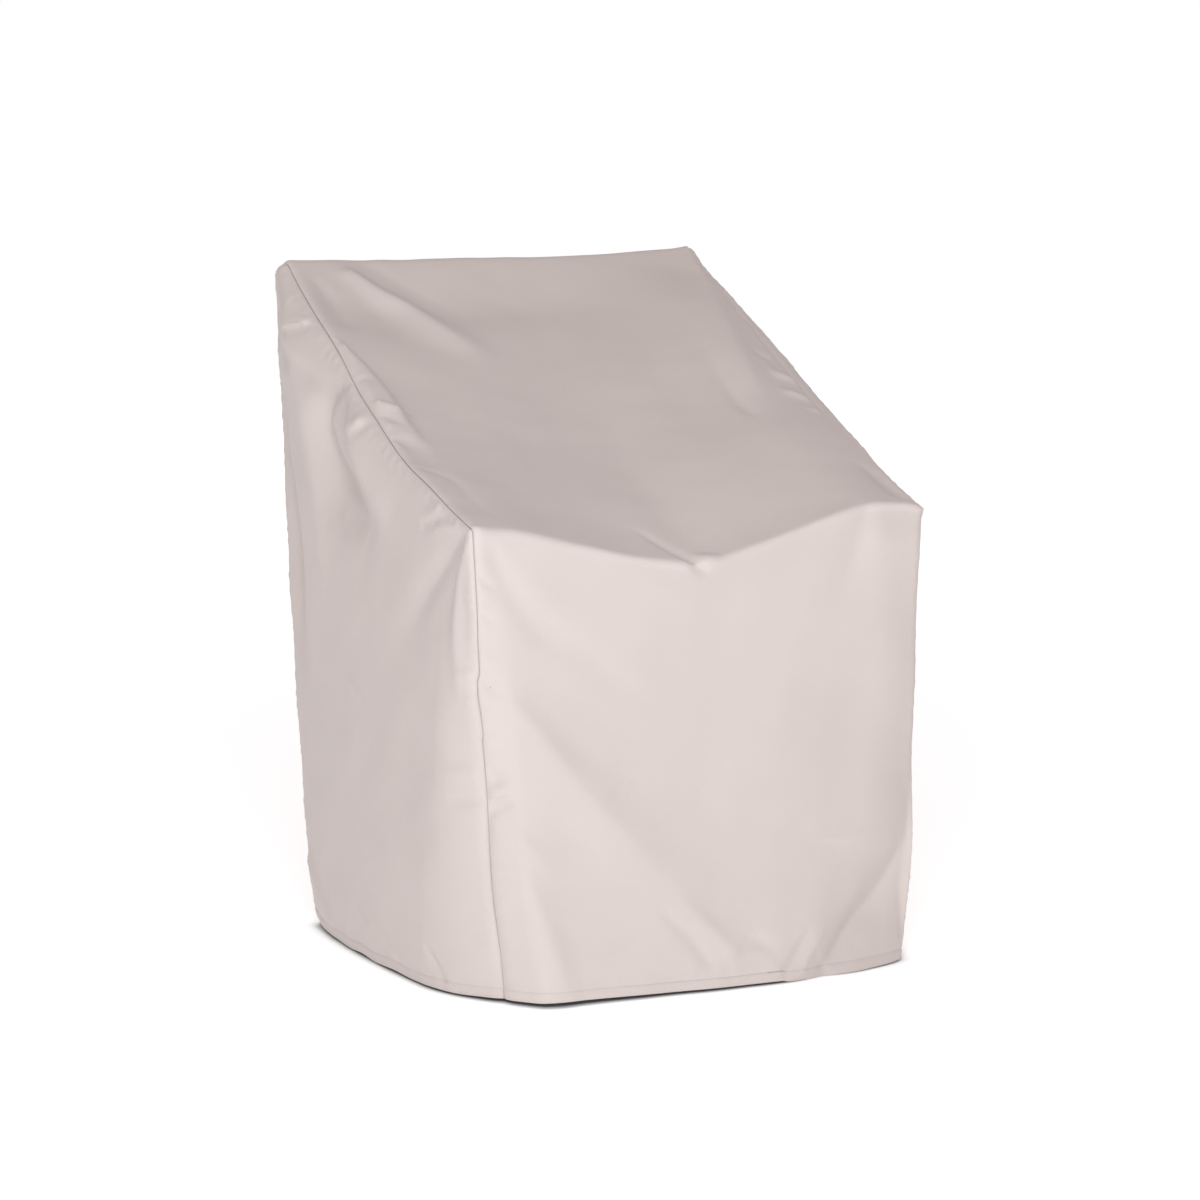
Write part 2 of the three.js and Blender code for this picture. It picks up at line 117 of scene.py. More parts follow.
@dataclass(frozen=True)
class Table:
    """Sizes in rows with named columns, read on a smooth curve by their first column."""

    columns: tuple[str, ...]
    rows: tuple[tuple[float, ...], ...]

    def read(self, column: str, keys: Array | float) -> Array:
        """Reads one column of the table.

        Args:
            column: The name of the column.
            keys: Where to read it, in the unit of the first column.

        Returns:
            One value for each key.
        """
        rows = np.array(sorted(self.rows), float)
        known, values = rows[:, 0], rows[:, self.columns.index(column)]
        order = np.arange(len(rows))
        before, after = np.maximum(order - 1, 0), np.minimum(order + 1, len(rows) - 1)
        slopes = (values[after] - values[before]) / (known[after] - known[before])
        keys = np.clip(keys, known[0], known[-1])
        row = np.clip(np.searchsorted(known, keys, side="right") - 1, 0, len(rows) - 2)
        span = known[row + 1] - known[row]
        t = (keys - known[row]) / span
        start_share = 2 * t**3 - 3 * t**2 + 1
        return (
            start_share * values[row]
            + (1 - start_share) * values[row + 1]
            + (t**3 - 2 * t**2 + t) * span * slopes[row]
            + (t**3 - t**2) * span * slopes[row + 1]
        )


class Side(Enum):
    """The two sides of the cover, as seen from its front."""

    LEFT = -1
    RIGHT = 1


@dataclass(frozen=True)
class Drape:
    """The form that the chair gives to the cloth, before its folds.

    Its sizes are in millimetres and its leans in degrees. Values below 1 are shares of a panel.
    An ease is the power with which a part of the form fades out.
    """

    top_y: float = 338
    front_y: float = -308
    hem_z: float = 2
    corner_lift: float = 12
    lift_reach: float = 38
    top_half_width: float = 318
    front_half_width: float = 331
    top_roll: float = 32
    front_roll: float = 5
    seam_radius: float = 14
    back_bow: float = 24
    back_belly: float = 5
    side_bow: Table = Table(
        ("height", "left", "right"),
        ((0, 45, 48), (0.25, 40, 33), (0.5, 38, 20), (0.75, 36, 8), (0.93, 18, 2), (1, 0, 0)),
    )
    corner_round: Table = Table(
        ("height", "share"),
        ((0, 0.24), (0.3, 0.17), (0.55, 0.11), (1, 0.11)),
    )
    rear_round: float = 0.3
    rear_start: float = 0.2
    rear_fall: float = 2.2
    belly_turn: float = 0.3
    left_lean: float = 45
    right_lean_slope: float = 15
    right_lean_front: float = 70
    lean_turn: float = 120
    swell_width: float = 20
    swell_fade: float = 380
    path_steps: int = 120
    slope_seam: Table = Table(("y", "left_z", "right_z", "swell"), (
        (338, 944, 964, 0), (285, 906, 925, 0), (215, 862, 883, 8), (170, 836, 854, 13),
        (80, 775, 799, 19), (30, 743, 769, 20), (-10, 719, 746, 19), (-50, 698, 724, 18),
        (-110, 671, 698, 9), (-175, 648, 665, 2), (-240, 624, 633, 0), (-285, 610, 614, 0),
        (-308, 603, 606, 0),
    ))
    front_seam: Table = Table(("z", "left_x", "right_x", "left_y", "right_y"), (
        (4, -288, 300, -300, -298), (60, -295, 308, -305, -301), (150, -305, 318, -303, -302),
        (290, -313, 317, -303, -300), (400, -321, 322, -302, -300), (500, -324, 326, -306, -300),
        (610, -331, 331, -308, -304),
    ))
    back_seam: Table = Table(("z", "left_x", "right_x", "y"), (
        (4, -289, 292, 302), (40, -294, 296, 306), (145, -302, 306, 313), (350, -311, 315, 321),
        (480, -317, 318, 325), (615, -319, 319, 330), (760, -322, 318, 334), (850, -324, 318, 338),
        (915, -326, 318, 340), (950, -319, 318, 338),
    ))
    front_edge: Table = Table(("x", "z"), (
        (-331, 603), (-300, 599), (-275, 597), (-225, 585), (-168, 572), (-109, 558), (-50, 549),
        (5, 546), (68, 562), (127, 579), (186, 597), (245, 611), (303, 611), (331, 605),
    ))
    top_edge: Table = Table(
        ("x", "z"),
        ((-318, 944), (-210, 944), (0, 948), (130, 951), (275, 960), (318, 964)),
    )
    front_hem: Table = Table(("x", "up"), (
        (-300, 2.4), (-230, 3.0), (-120, 1.4), (0, 0), (84, -0.3), (92, -2.2), (180, -2.4),
        (260, -1.2), (300, 0),
    ))
    left_hem: Table = Table(("y", "up"), (
        (-310, 2.4), (-270, 1.4), (-240, 0.2), (-190, 0.8), (-120, 0.2), (-60, 1.4), (10, -0.8),
        (60, 1.6), (110, -0.4), (180, 1.0), (260, 0.8), (330, 0),
    ))
    left_wander: Table = Table(("below_edge", "to_side"), (
        (-760, 0), (-560, 0.6), (-480, -0.8), (-400, 0.8), (-330, -0.9), (-240, 0.5), (-120, -0.6),
        (0, 0), (140, 0.3), (182, -1.6), (190, 1.0), (207, 2.0), (225, 0.4), (259, -1.6),
        (268, 0.4), (330, 0), (470, 0.5), (590, 0),
    ))
    top_sag: Table = Table(
        ("across", "down"),
        ((0, 0), (0.1, 18), (0.28, 32), (0.45, 35), (0.68, 25), (0.82, 8), (0.9, 1), (1, 0)),
    )
    crown: float = 14
    sag_start: float = 0.005
    sag_reach: float = 0.175
    front_bow: Table = Table(("x", "forward"), (
        (-288, 0), (-270, 30), (-252, 52), (-200, 56), (0, 60), (122, 60), (202, 48), (262, 24),
        (300, 0),
    ))
    belly_ease: float = 6
    side_ease: float = 4
    lift_ease: float = 4
    back_bow_ease: float = 1.4
    front_bow_ease: float = 1.25
    front_drop_ease: float = 1.8
    top_drop_ease: float = 3

    def lift(self, from_corner: Array) -> Array:
        """Returns how high the hem is lifted at a distance from the lifted corner."""
        return self.corner_lift * np.exp(-((from_corner / self.lift_reach) ** 2))

    def paths(self, across: Array) -> Array:
        """Works out the sharp path of each column: up the back, down the slope and the front.

        Args:
            across: The columns' places, as shares of the strip's width from the left.

        Returns:
            One row of points for each column.
        """
        u = np.clip(across, 0, 1)[:, None]
        t = np.linspace(0, 1, self.path_steps + 1)[None, :]
        belly = 1 - np.abs(2 * u - 1) ** self.belly_ease
        top_x = mix(-self.top_half_width, self.top_half_width, u)
        edge_x = mix(-self.front_half_width, self.front_half_width, u)
        top_z = self.top_edge.read("z", top_x)
        edge_z = self.front_edge.read("z", edge_x)

        z = mix(self.hem_z + self.lift(u * 2 * self.top_half_width), top_z, t)
        x = mix(self.back_seam.read("left_x", z), self.back_seam.read("right_x", z), u)
        bow = self.back_bow * (1 - t) ** self.back_bow_ease + self.back_belly * np.sin(np.pi * t)
        back = np.broadcast_arrays(x, self.back_seam.read("y", z) + belly * bow, z)

        y = mix(self.top_y, self.front_y, t)
        left_z, right_z = self.slope_seam.read("left_z", y), self.slope_seam.read("right_z", y)
        front_drop = mix(left_z[:, -1:], right_z[:, -1:], u) - edge_z
        top_drop = mix(left_z[:, :1], right_z[:, :1], u) - top_z
        sag = front_drop * t**self.front_drop_ease + top_drop * (1 - t) ** self.top_drop_ease
        sag = sag - self.crown * (1 - (2 * u - 1) ** 2) * np.sin(np.pi * t)
        below_top = smooth_step((t - self.sag_start) / self.sag_reach) * (1 - t)
        sag = sag + self.top_sag.read("down", u) * below_top
        slope = np.broadcast_arrays(mix(top_x, edge_x, t), y, mix(left_z, right_z, u) - sag)

        z = mix(edge_z, self.hem_z, t)
        left_x, right_x, left_y, right_y = (
            self.front_seam.read(name, z) for name in self.front_seam.columns[1:]
        )
        hem = self.front_seam
        hem_x = mix(hem.read("left_x", self.hem_z), hem.read("right_x", self.hem_z), u)
        forward = self.front_bow.read("forward", hem_x) * t**self.front_bow_ease
        x, y = mix(left_x, right_x, u), mix(left_y, right_y, u)
        front = np.broadcast_arrays(x, y - forward, z)
        stretches = [np.stack(stretch, -1) for stretch in (back, slope, front)]
        return np.concatenate([stretches[0], stretches[1][:, 1:], stretches[2][:, 1:]], 1)

    def lean(self, side: Side, below_edge: Array) -> Array:
        """Returns the tilt of a seam from the strip's own normal, in radians.

        The right seam's tilt changes round the front edge.

        Args:
            side: The seam's side.
            below_edge: How far below the front edge each of its stations lies.

        Returns:
            The tilt at each station.
        """
        turned = smooth_step(below_edge / self.lean_turn + 0.5)
        right = mix(self.right_lean_slope, self.right_lean_front, turned)
        return np.radians(right if side is Side.RIGHT else np.full_like(right, self.left_lean))

    def bend(self, from_seam: Array, lean: Array) -> Array:
        """Works out how far a cloth has risen out of its seam.

        Args:
            from_seam: The distance from the seam.
            lean: The seam's tilt, in radians.

        Returns:
            The rise at each distance.
        """
        flat = self.seam_radius * np.sin(lean)
        left = flat - np.clip(from_seam, 0, flat)
        return np.sqrt(self.seam_radius**2 - left**2) - self.seam_radius * np.cos(lean)


class Columns:
    """Columns of the strip, each a path with its two corners rolled."""

    ROLL_SAMPLES = 9

    def __init__(self, drape: Drape, across: Array) -> None:
        """Measures the sharp paths.

        Args:
            drape: The form that the columns follow.
            across: The columns' places, as shares of the strip's width.
        """
        self.drape = drape
        self.paths = drape.paths(across)
        self.lengths = lengths_along(self.paths)
        self.top = self.lengths[:, drape.path_steps, None]
        self.edge = self.lengths[:, 2 * drape.path_steps, None]
        self.end = self.lengths[:, -1:]

    def stations(self, back: Array, slope: Array, front: Array) -> Array:
        """Places stations along each column.

        Args:
            back: Shares of the back, from the hem up.
            slope: Shares of the slope, from the top edge down.
            front: Shares of the front, from the front edge down.

        Returns:
            The length along the column of each station.
        """
        slope, front = mix(self.top, self.edge, slope[1:]), mix(self.edge, self.end, front[1:])
        return np.concatenate([self.top * back, slope, front], 1)

    def sharp(self, at: Array) -> Array:
        """Returns the points of the sharp paths at lengths along them."""
        return np.stack([read_along(*column) for column in zip(at, self.lengths, self.paths)])

    def rolled(self, at: Array) -> Array:
        """Rolls the corners of the paths, by the mean of the sharp path round each point.

        Args:
            at: Lengths along the paths.

        Returns:
            The points of the rolled paths there.
        """
        at = np.clip(at, 0, self.end)
        from_top = smooth_step(np.abs(at - self.top) / (2 * self.drape.top_roll))
        roll = mix(self.drape.top_roll, self.drape.front_roll, from_top)
        reach = np.minimum(roll, np.minimum(at, self.end - at))
        offsets = np.linspace(-1, 1, self.ROLL_SAMPLES)
        return sum(self.sharp(at + offset * reach) for offset in offsets) / len(offsets)


@dataclass
class Seam:
    """A seam between the strip and a side panel, at each of its stations."""

    points: Array
    normals: Array
    to_side: Array
    lean: Array
    below_edge: Array
    wander: Array


class Strip:
    """The centre panel's base surface: its points, normals and places on the cloth.

    Its normals come from columns a NUDGE beside each column, as a share of the width, and from
    points a REACH along it, in millimetres.
    """

    NUDGE = 0.004
    REACH = 2.0

    def __init__(
        self, drape: Drape, across: Array, back: Array, slope: Array, front: Array
    ) -> None:
        """Works out the surface.

        Args:
            drape: The form that it follows.
            across: Shares of its width.
            back: Shares of the back, from the hem up.
            slope: Shares of the slope, from the top edge down.
            front: Shares of the front, from the front edge down.
        """
        self.drape = drape
        columns = Columns(drape, across)
        stations = columns.stations(back, slope, front)
        self.points = columns.rolled(stations)
        along = columns.rolled(stations + self.REACH) - columns.rolled(stations - self.REACH)
        sideways = 0
        for sign in (1, -1):
            beside = Columns(drape, across + sign * self.NUDGE)
            sideways = sideways + sign * beside.rolled(beside.stations(back, slope, front))
        self.normals = unit(np.cross(along, sideways))
        self.below_edge = stations - columns.edge
        self.from_hem = np.minimum(stations, columns.end - stations)

    def seam(self, side: Side) -> Seam:
        """Works out the seam along one edge of the strip.

        Args:
            side: The edge.

        Returns:
            The seam.
        """
        column = 0 if side is Side.LEFT else -1
        points, below_edge = self.points[column], self.below_edge[column]
        along = unit(np.gradient(points, axis=0))
        lean = self.drape.lean(side, below_edge)
        normals = self.normals[column] * np.cos(lean)[:, None]
        normals[:, 0] += side.value * np.sin(lean)
        normals = unit(normals - along * dot(normals, along))
        to_side = unit(np.cross(along, normals))
        to_side *= np.where(to_side[:, :1] * side.value < 0, -1, 1)
        wander = np.zeros_like(below_edge)
        if side is Side.LEFT:
            wander = self.drape.left_wander.read("to_side", below_edge)
        return Seam(points, normals, to_side, lean, below_edge, wander)


def nearest_on(line: Array, points: Array, at_once: int = 4000) -> tuple[Array, Array, Array]:
    """Finds the nearest place on a line of points.

    Args:
        line: The line's points, in any number of axes.
        points: The points to look from.
        at_once: How many points are looked up in one go.

    Returns:
        The distance of each point, its place along the line in steps of it, and which side of
        the line it is on in the first two axes: 1 or -1, and between them past the line's ends.
    """
    runs = np.diff(line, axis=0)
    squares = np.maximum((runs**2).sum(1), TINY)
    found = []
    for start in range(0, len(points), at_once):
        part = points[start : start + at_once]
        offset = part[:, None] - line[None, :-1]
        share = np.clip((offset * runs).sum(2) / squares, 0, 1)
        away = np.linalg.norm(offset - share[..., None] * runs, axis=2)
        nearest, rows = away.argmin(1), np.arange(len(part))
        run, beside = runs[nearest], offset[rows, nearest]
        turn = run[:, 0] * beside[:, 1] - run[:, 1] * beside[:, 0]
        size = np.linalg.norm(run, axis=1) * np.linalg.norm(beside[:, :2], axis=1)
        side = turn / np.maximum(size, TINY)
        found.append([away[rows, nearest], nearest + share[rows, nearest], side])
    return tuple(np.concatenate(parts) for parts in zip(*found))


def spread(line: Array, values: Array, points: Array, at_once: int = 4000) -> Array:
    """Spreads values that are known along a line over points away from it.

    Args:
        line: The line's points, in any number of axes.
        values: One row of values for each of them.
        points: The points to spread to.
        at_once: How many points are worked out in one go.

    Returns:
        One row of values for each point: those of the line nearest to it, smoothly mixed where
        it lies as near to several parts of the line.
    """
    length = np.linalg.norm(np.gradient(line, axis=0), axis=1)
    found = []
    for start in range(0, len(points), at_once):
        part = points[start : start + at_once]
        away = ((part[:, None] - line[None]) ** 2).sum(2)
        near = length / (away + 1) ** 2
        found.append(near @ values / near.sum(1, keepdims=True))
    return np.concatenate(found)


@dataclass(frozen=True)
class Fold:
    """A fold along a smooth curve on a panel.

    Each point of the curve gives its two places on the panel, how far the fold stands out of the
    cloth there, or goes in where that is negative, and the distance over which it dies away. A
    low keen gives it a sharp line. A skew above 0 makes it wider on the right of its curve and one
    below 0 on the left, as seen from outside the centre panel or the left panel.
    """

    points: tuple[tuple[float, float, float, float], ...]
    keen: float = 2.0
    skew: float = 0.0

    def curve(self, steps: int = 7) -> tuple[Array, Array, Array]:
        """Runs the fold's curve through its points.

        Args:
            steps: The number of straight pieces between two points.

        Returns:
            The places, the rise and the width along the curve.
        """
        points = np.array(self.points, float)
        at, pieces = lengths_along(points[:, :2]), len(points) - 1
        table = Table(("at", "a", "b", "rise", "wide"), tuple(map(tuple, np.c_[at, points])))
        where = np.interp(np.linspace(0, pieces, pieces * steps + 1), range(len(at)), at)
        line = np.stack([table.read(name, where) for name in ("a", "b")], -1)
        return line, table.read("rise", where), np.interp(where, at, points[:, 3])

    def add_to(self, rise: Array, places: Array) -> None:
        """Adds the fold to the rise of the cloth.

        Args:
            rise: The rise at each place, which is changed.
            places: The places on the panel.
        """
        line, heights, widths = self.curve()
        reach = 3 * widths.max() * (1 + abs(self.skew))
        near = ((places > line.min(0) - reach) & (places < line.max(0) + reach)).all(1)
        if not near.any():
            return
        distance, place, side = nearest_on(line, places[near])
        stations = np.arange(len(line))
        wide = np.interp(place, stations, widths) * (1 + self.skew * side)
        height = np.interp(place, stations, heights)
        rise[near] += height * np.exp(-((distance / wide) ** self.keen))


def folds_rise(folds: Sequence[Fold], a: Array, b: Array) -> Array:
    """Adds up the folds of a panel.

    Args:
        folds: The folds.
        a: The first places of a grid on the panel.
        b: The second places.

    Returns:
        How far the folds lift the cloth there.
    """
    places = np.stack([a.ravel(), b.ravel()], -1)
    rise = np.zeros(len(places))
    for fold in folds:
        fold.add_to(rise, places)
    return rise.reshape(a.shape)


@dataclass(frozen=True)
class Puckers:
    """Short uneven ridges that a line of stitching gathers in the cloth beside it.

    Each stage of a ridge gives its share of the length, of the height and of the width.
    """

    spacing: tuple[float, float]
    length: tuple[float, float]
    height: tuple[float, float]
    wide: tuple[float, float]
    slant: float = 0.35
    stages: tuple[tuple[float, float, float], ...] = ((0, 1, 0.8), (0.5, 0.7, 1.15), (1, 0, 1.5))

    def folds(self, line: Array, inward: Array, seed: int) -> list[Fold]:
        """Scatters the ridges along a line of stitching.

        Args:
            line: The line's points on the panel.
            inward: The direction into the panel at each of them.
            seed: The seed of the scatter.

        Returns:
            One fold for each ridge.
        """
        random = np.random.default_rng(seed)
        lengths = lengths_along(line)
        folds, at = [], random.uniform(*self.spacing)
        while at < lengths[-1]:
            point, away = read_along(at, lengths, line), read_along(at, lengths, inward)
            away = away + random.normal(0, self.slant) * np.array([-away[1], away[0]])
            length, height, wide = (
                random.uniform(*limits) for limits in (self.length, self.height, self.wide)
            )
            points = [
                (*(point + away * length * share), height * high, wide * broad)
                for share, high, broad in self.stages
            ]
            folds.append(Fold(tuple(points)))
            at += random.uniform(*self.spacing)
        return folds


@dataclass(frozen=True)
class Ripple:
    """The slight seeded unevenness of a large piece of cloth."""

    seed: int
    waves: int = 26
    shortest: float = 55
    longest: float = 260
    steepness: float = 0.0035

    def rise(self, a: Array, b: Array) -> Array:
        """Adds up waves of random direction, length and phase.

        Args:
            a: The first places of a grid on the cloth.
            b: The second places.

        Returns:
            How far the ripple moves the cloth there.
        """
        random = np.random.default_rng(self.seed)
        rise = np.zeros_like(a)
        for _ in range(self.waves):
            wavelength = math.exp(random.uniform(math.log(self.shortest), math.log(self.longest)))
            turn, phase = random.uniform(0, math.tau, 2)
            across = a * math.cos(turn) + b * math.sin(turn)
            rise += self.steepness * wavelength * np.sin(across * math.tau / wavelength + phase)
        return rise / math.sqrt(self.waves) * 2


class Nodes:
    """The procedural nodes of a material or a world."""

    def __init__(self, owner: bpy.types.Material | bpy.types.World) -> None:
        """Starts from the owner's default nodes.

        Args:
            owner: The material or the world.
        """
        owner.use_nodes = True
        self.tree = owner.node_tree

    def feed(self, node: bpy.types.Node, inputs: dict[str | int, object]) -> None:
        """Gives a node its inputs.

        Args:
            node: The node.
            inputs: For the name or number of an input, its value or the output that feeds it.
        """
        for key, value in inputs.items():
            if isinstance(value, bpy.types.NodeSocket):
                self.tree.links.new(value, node.inputs[key])
            else:
                node.inputs[key].default_value = value

    def add(
        self, kind: str, output: str, inputs: dict[str | int, object] | None = None, **settings: str
    ) -> bpy.types.NodeSocket:
        """Adds a node.

        Args:
            kind: Its type.
            output: The name of the output that is wanted.
            inputs: Its inputs, as for feed.
            settings: Its other settings, which are made first.

        Returns:
            The wanted output.
        """
        node = self.tree.nodes.new(kind)
        for name, value in settings.items():
            setattr(node, name, value)
        self.feed(node, inputs or {})
        return node.outputs[output]

    def fade(
        self,
        value: bpy.types.NodeSocket,
        limits: tuple[float, float],
        levels: tuple[float, float] = (0, 1),
    ) -> bpy.types.NodeSocket:
        """Fades from one level to another.

        Args:
            value: What it fades by.
            limits: The values where it starts and ends.
            levels: The levels before and after it.

        Returns:
            The level.
        """
        ends = dict(zip(("From Min", "From Max", "To Min", "To Max"), (*limits, *levels)))
        inputs = {"Value": value, **ends}
        return self.add("ShaderNodeMapRange", "Result", inputs, interpolation_type="SMOOTHSTEP")


@dataclass(frozen=True)
class CoatedCloth:
    """Woven polyester with a thin matt coating, which is finely crinkled and mottled.

    A noise is given by its scale per metre and its levels of detail.
    """

    name: str
    colour: tuple[float, float, float]
    roughness: float
    sheen: float
    roughness_spread: float = 0.05
    sheen_roughness: float = 0.45
    specular: float = 0.32
    weave_mm: float = 0.9
    weave_distortion: float = 0.6
    weave_depth: float = 0.10
    weave_reach: float = 0.0003
    crinkle_noise: tuple[float, float] = (42, 5)
    crinkle_depth: float = 0.35
    crinkle_reach: float = 0.0011
    mottle_noise: tuple[float, float] = (6, 4)
    mottle: float = 0.035

    def build(self) -> bpy.types.Material:
        """Makes the material from procedural nodes, laid out in the cloth's own metres.

        Returns:
            The material.
        """
        material = bpy.data.materials.new(self.name)
        nodes = Nodes(material)
        place = nodes.add("ShaderNodeUVMap", "UV", uv_map="cloth")
        bands = {
            "Vector": place,
            "Scale": 1 / (self.weave_mm * MM * math.tau) / 2,
            "Distortion": self.weave_distortion,
        }
        warp, weft = (
            nodes.add("ShaderNodeTexWave", "Fac", bands, bands_direction=direction)
            for direction in ("X", "Y")
        )
        weave = nodes.add("ShaderNodeMath", "Value", {0: warp, 1: weft}, operation="MULTIPLY")
        crinkle, mottle = (
            nodes.add(
                "ShaderNodeTexNoise", "Fac", {"Vector": place, "Scale": scale, "Detail": detail}
            )
            for scale, detail in (self.crinkle_noise, self.mottle_noise)
        )
        dark, light = (
            (*(channel * (1 + change) for channel in self.colour), 1)
            for change in (-self.mottle, self.mottle)
        )
        shades = {"Factor": mottle, "A": dark, "B": light}
        low, high = (self.roughness + sign * self.roughness_spread for sign in (-1, 1))
        rough = {"Value": crinkle, "To Min": low, "To Max": high}
        relief = {}
        for height, depth, reach in (
            (crinkle, self.crinkle_depth, self.crinkle_reach),
            (weave, self.weave_depth, self.weave_reach),
        ):
            bump = {"Strength": depth, "Distance": reach, "Height": height, **relief}
            relief = {"Normal": nodes.add("ShaderNodeBump", "Normal", bump)}
        surface = {
            "Base Color": nodes.add("ShaderNodeMix", "Result", shades, data_type="RGBA"),
            "Roughness": nodes.add("ShaderNodeMapRange", "Result", rough),
            "Specular IOR Level": self.specular,
            "Sheen Weight": self.sheen,
            "Sheen Roughness": self.sheen_roughness,
        }
        nodes.feed(nodes.tree.nodes["Principled BSDF"], surface | relief)
        return material


@dataclass(frozen=True)
class Thread:
    """Twisted polyester thread. Its twist is given by its scale per metre."""

    name: str
    colour: tuple[float, float, float]
    roughness: float = 0.55
    sheen: float = 0.2
    twist: float = 2500
    twist_depth: float = 0.4
    twist_reach: float = 0.0001

    def build(self) -> bpy.types.Material:
        """Makes the material, with a fine twist in its relief.

        Returns:
            The material.
        """
        material = bpy.data.materials.new(self.name)
        nodes = Nodes(material)
        place = nodes.add("ShaderNodeTexCoord", "Object")
        twist = nodes.add("ShaderNodeTexNoise", "Fac", {"Vector": place, "Scale": self.twist})
        bump = {"Strength": self.twist_depth, "Distance": self.twist_reach, "Height": twist}
        surface = {
            "Base Color": (*self.colour, 1),
            "Roughness": self.roughness,
            "Sheen Weight": self.sheen,
            "Normal": nodes.add("ShaderNodeBump", "Normal", bump),
        }
        nodes.feed(nodes.tree.nodes["Principled BSDF"], surface)
        return material


@dataclass(frozen=True)
class Finishes:
    """The finishes of the cover, built once."""

    face: bpy.types.Material
    wrong: bpy.types.Material
    thread: bpy.types.Material
    shadow_tack: bpy.types.Material

    @classmethod
    def build(cls) -> "Finishes":
        """Builds the cover's finishes."""
        return cls(
            CoatedCloth("coated_cloth_face", (0.62, 0.545, 0.515), 0.56, 0.12).build(),
            CoatedCloth("coated_cloth_wrong", (0.30, 0.24, 0.21), 0.7, 0.05).build(),
            Thread("hem_thread", (0.46, 0.40, 0.37)).build(),
            # Dark thread for the bar at the hem's lap: its darkness is painted shadow under the end
            # of the lapped hem.
            Thread("shadow_tack_thread", (0.22, 0.17, 0.14)).build(),
        )


def grid_normals(grid: Array) -> Array:
    """Returns the normals of a grid of points, on the side where its lines run clockwise."""
    return unit(np.cross(np.gradient(grid, axis=1), np.gradient(grid, axis=0)))


def add_object(name: str, data: bpy.types.ID) -> bpy.types.Object:
    """Adds an object to the scene.

    Args:
        name: Its name.
        data: Its mesh, camera or light.

    Returns:
        The object.
    """
    made = bpy.data.objects.new(name, data)
    bpy.context.scene.collection.objects.link(made)
    return made


def make_mesh(
    name: str, vertices: Array, faces: list[list], materials: list[bpy.types.Material]
) -> bpy.types.Object:
    """Makes a smooth mesh object in the part's frame from points in millimetres.

    Args:
        name: The piece's name.
        vertices: Its points.
        faces: For each material, its faces, each as a list of corners.
        materials: Its materials.

    Returns:
        The object, linked to the scene.
    """
    mesh = bpy.data.meshes.new(name)
    corners = [face for group in faces for face in group]
    mesh.from_pydata(((vertices - ORIGIN) * MM).tolist(), [], corners)
    slots = np.repeat(np.arange(len(faces)), [len(group) for group in faces])
    mesh.polygons.foreach_set("material_index", slots.astype(np.int32))
    for material in materials:
        mesh.materials.append(material)
    mesh.shade_smooth()
    return add_object(name, mesh)


@dataclass
class DrapedCloth:
    """A panel's draped face as grids: its points, normals and places, and the hem's distance."""

    SHARP_DEGREES = 55

    face: Array
    normals: Array
    places: Array
    from_hem: Array

    def flipped(self) -> "DrapedCloth":
        """Returns the cloth with its lines in the other order."""
        grids = (self.face, self.normals, self.places, self.from_hem)
        return DrapedCloth(*(grid[::-1] for grid in grids))

    def build(self, name: str, thickness: Array, finishes: Finishes) -> bpy.types.Object:
        """Makes a closed thin sheet of the cloth, with its places on it as UVs in metres.

        Args:
            name: The piece's name.
            thickness: The cloth's thickness at each point.
            finishes: The cover's finishes.

        Returns:
            The sheet's object.
        """
        lines, rows = self.face.shape[:2]
        index = np.arange(lines * rows).reshape(lines, rows)
        ring = (index[:-1, :-1], index[:-1, 1:], index[1:, 1:], index[1:, :-1])
        face = np.stack([corner.ravel() for corner in ring], -1)
        wrong = face[:, ::-1] + lines * rows
        border = np.concatenate([index[:-1, 0], index[-1, :-1], index[:0:-1, -1], index[0, :0:-1]])
        onward = np.roll(border, -1)
        rim = np.stack([border, onward, onward + lines * rows, border + lines * rows], -1)
        inner = self.face - self.normals * thickness[..., None]
        vertices = np.concatenate([self.face.reshape(-1, 3), inner.reshape(-1, 3)])
        faces = [np.concatenate([face, rim]).tolist(), wrong.tolist()]
        piece = make_mesh(name, vertices, faces, [finishes.face, finishes.wrong])
        piece.data.set_sharp_from_angle(angle=math.radians(self.SHARP_DEGREES))
        corners = np.empty(len(piece.data.loops), np.int32)
        piece.data.loops.foreach_get("vertex_index", corners)
        places = np.tile(self.places.reshape(-1, 2) * MM, (2, 1))
        layer = piece.data.uv_layers.new(name="cloth")
        layer.data.foreach_set("uv", places[corners].ravel().astype(np.float32))
        return piece


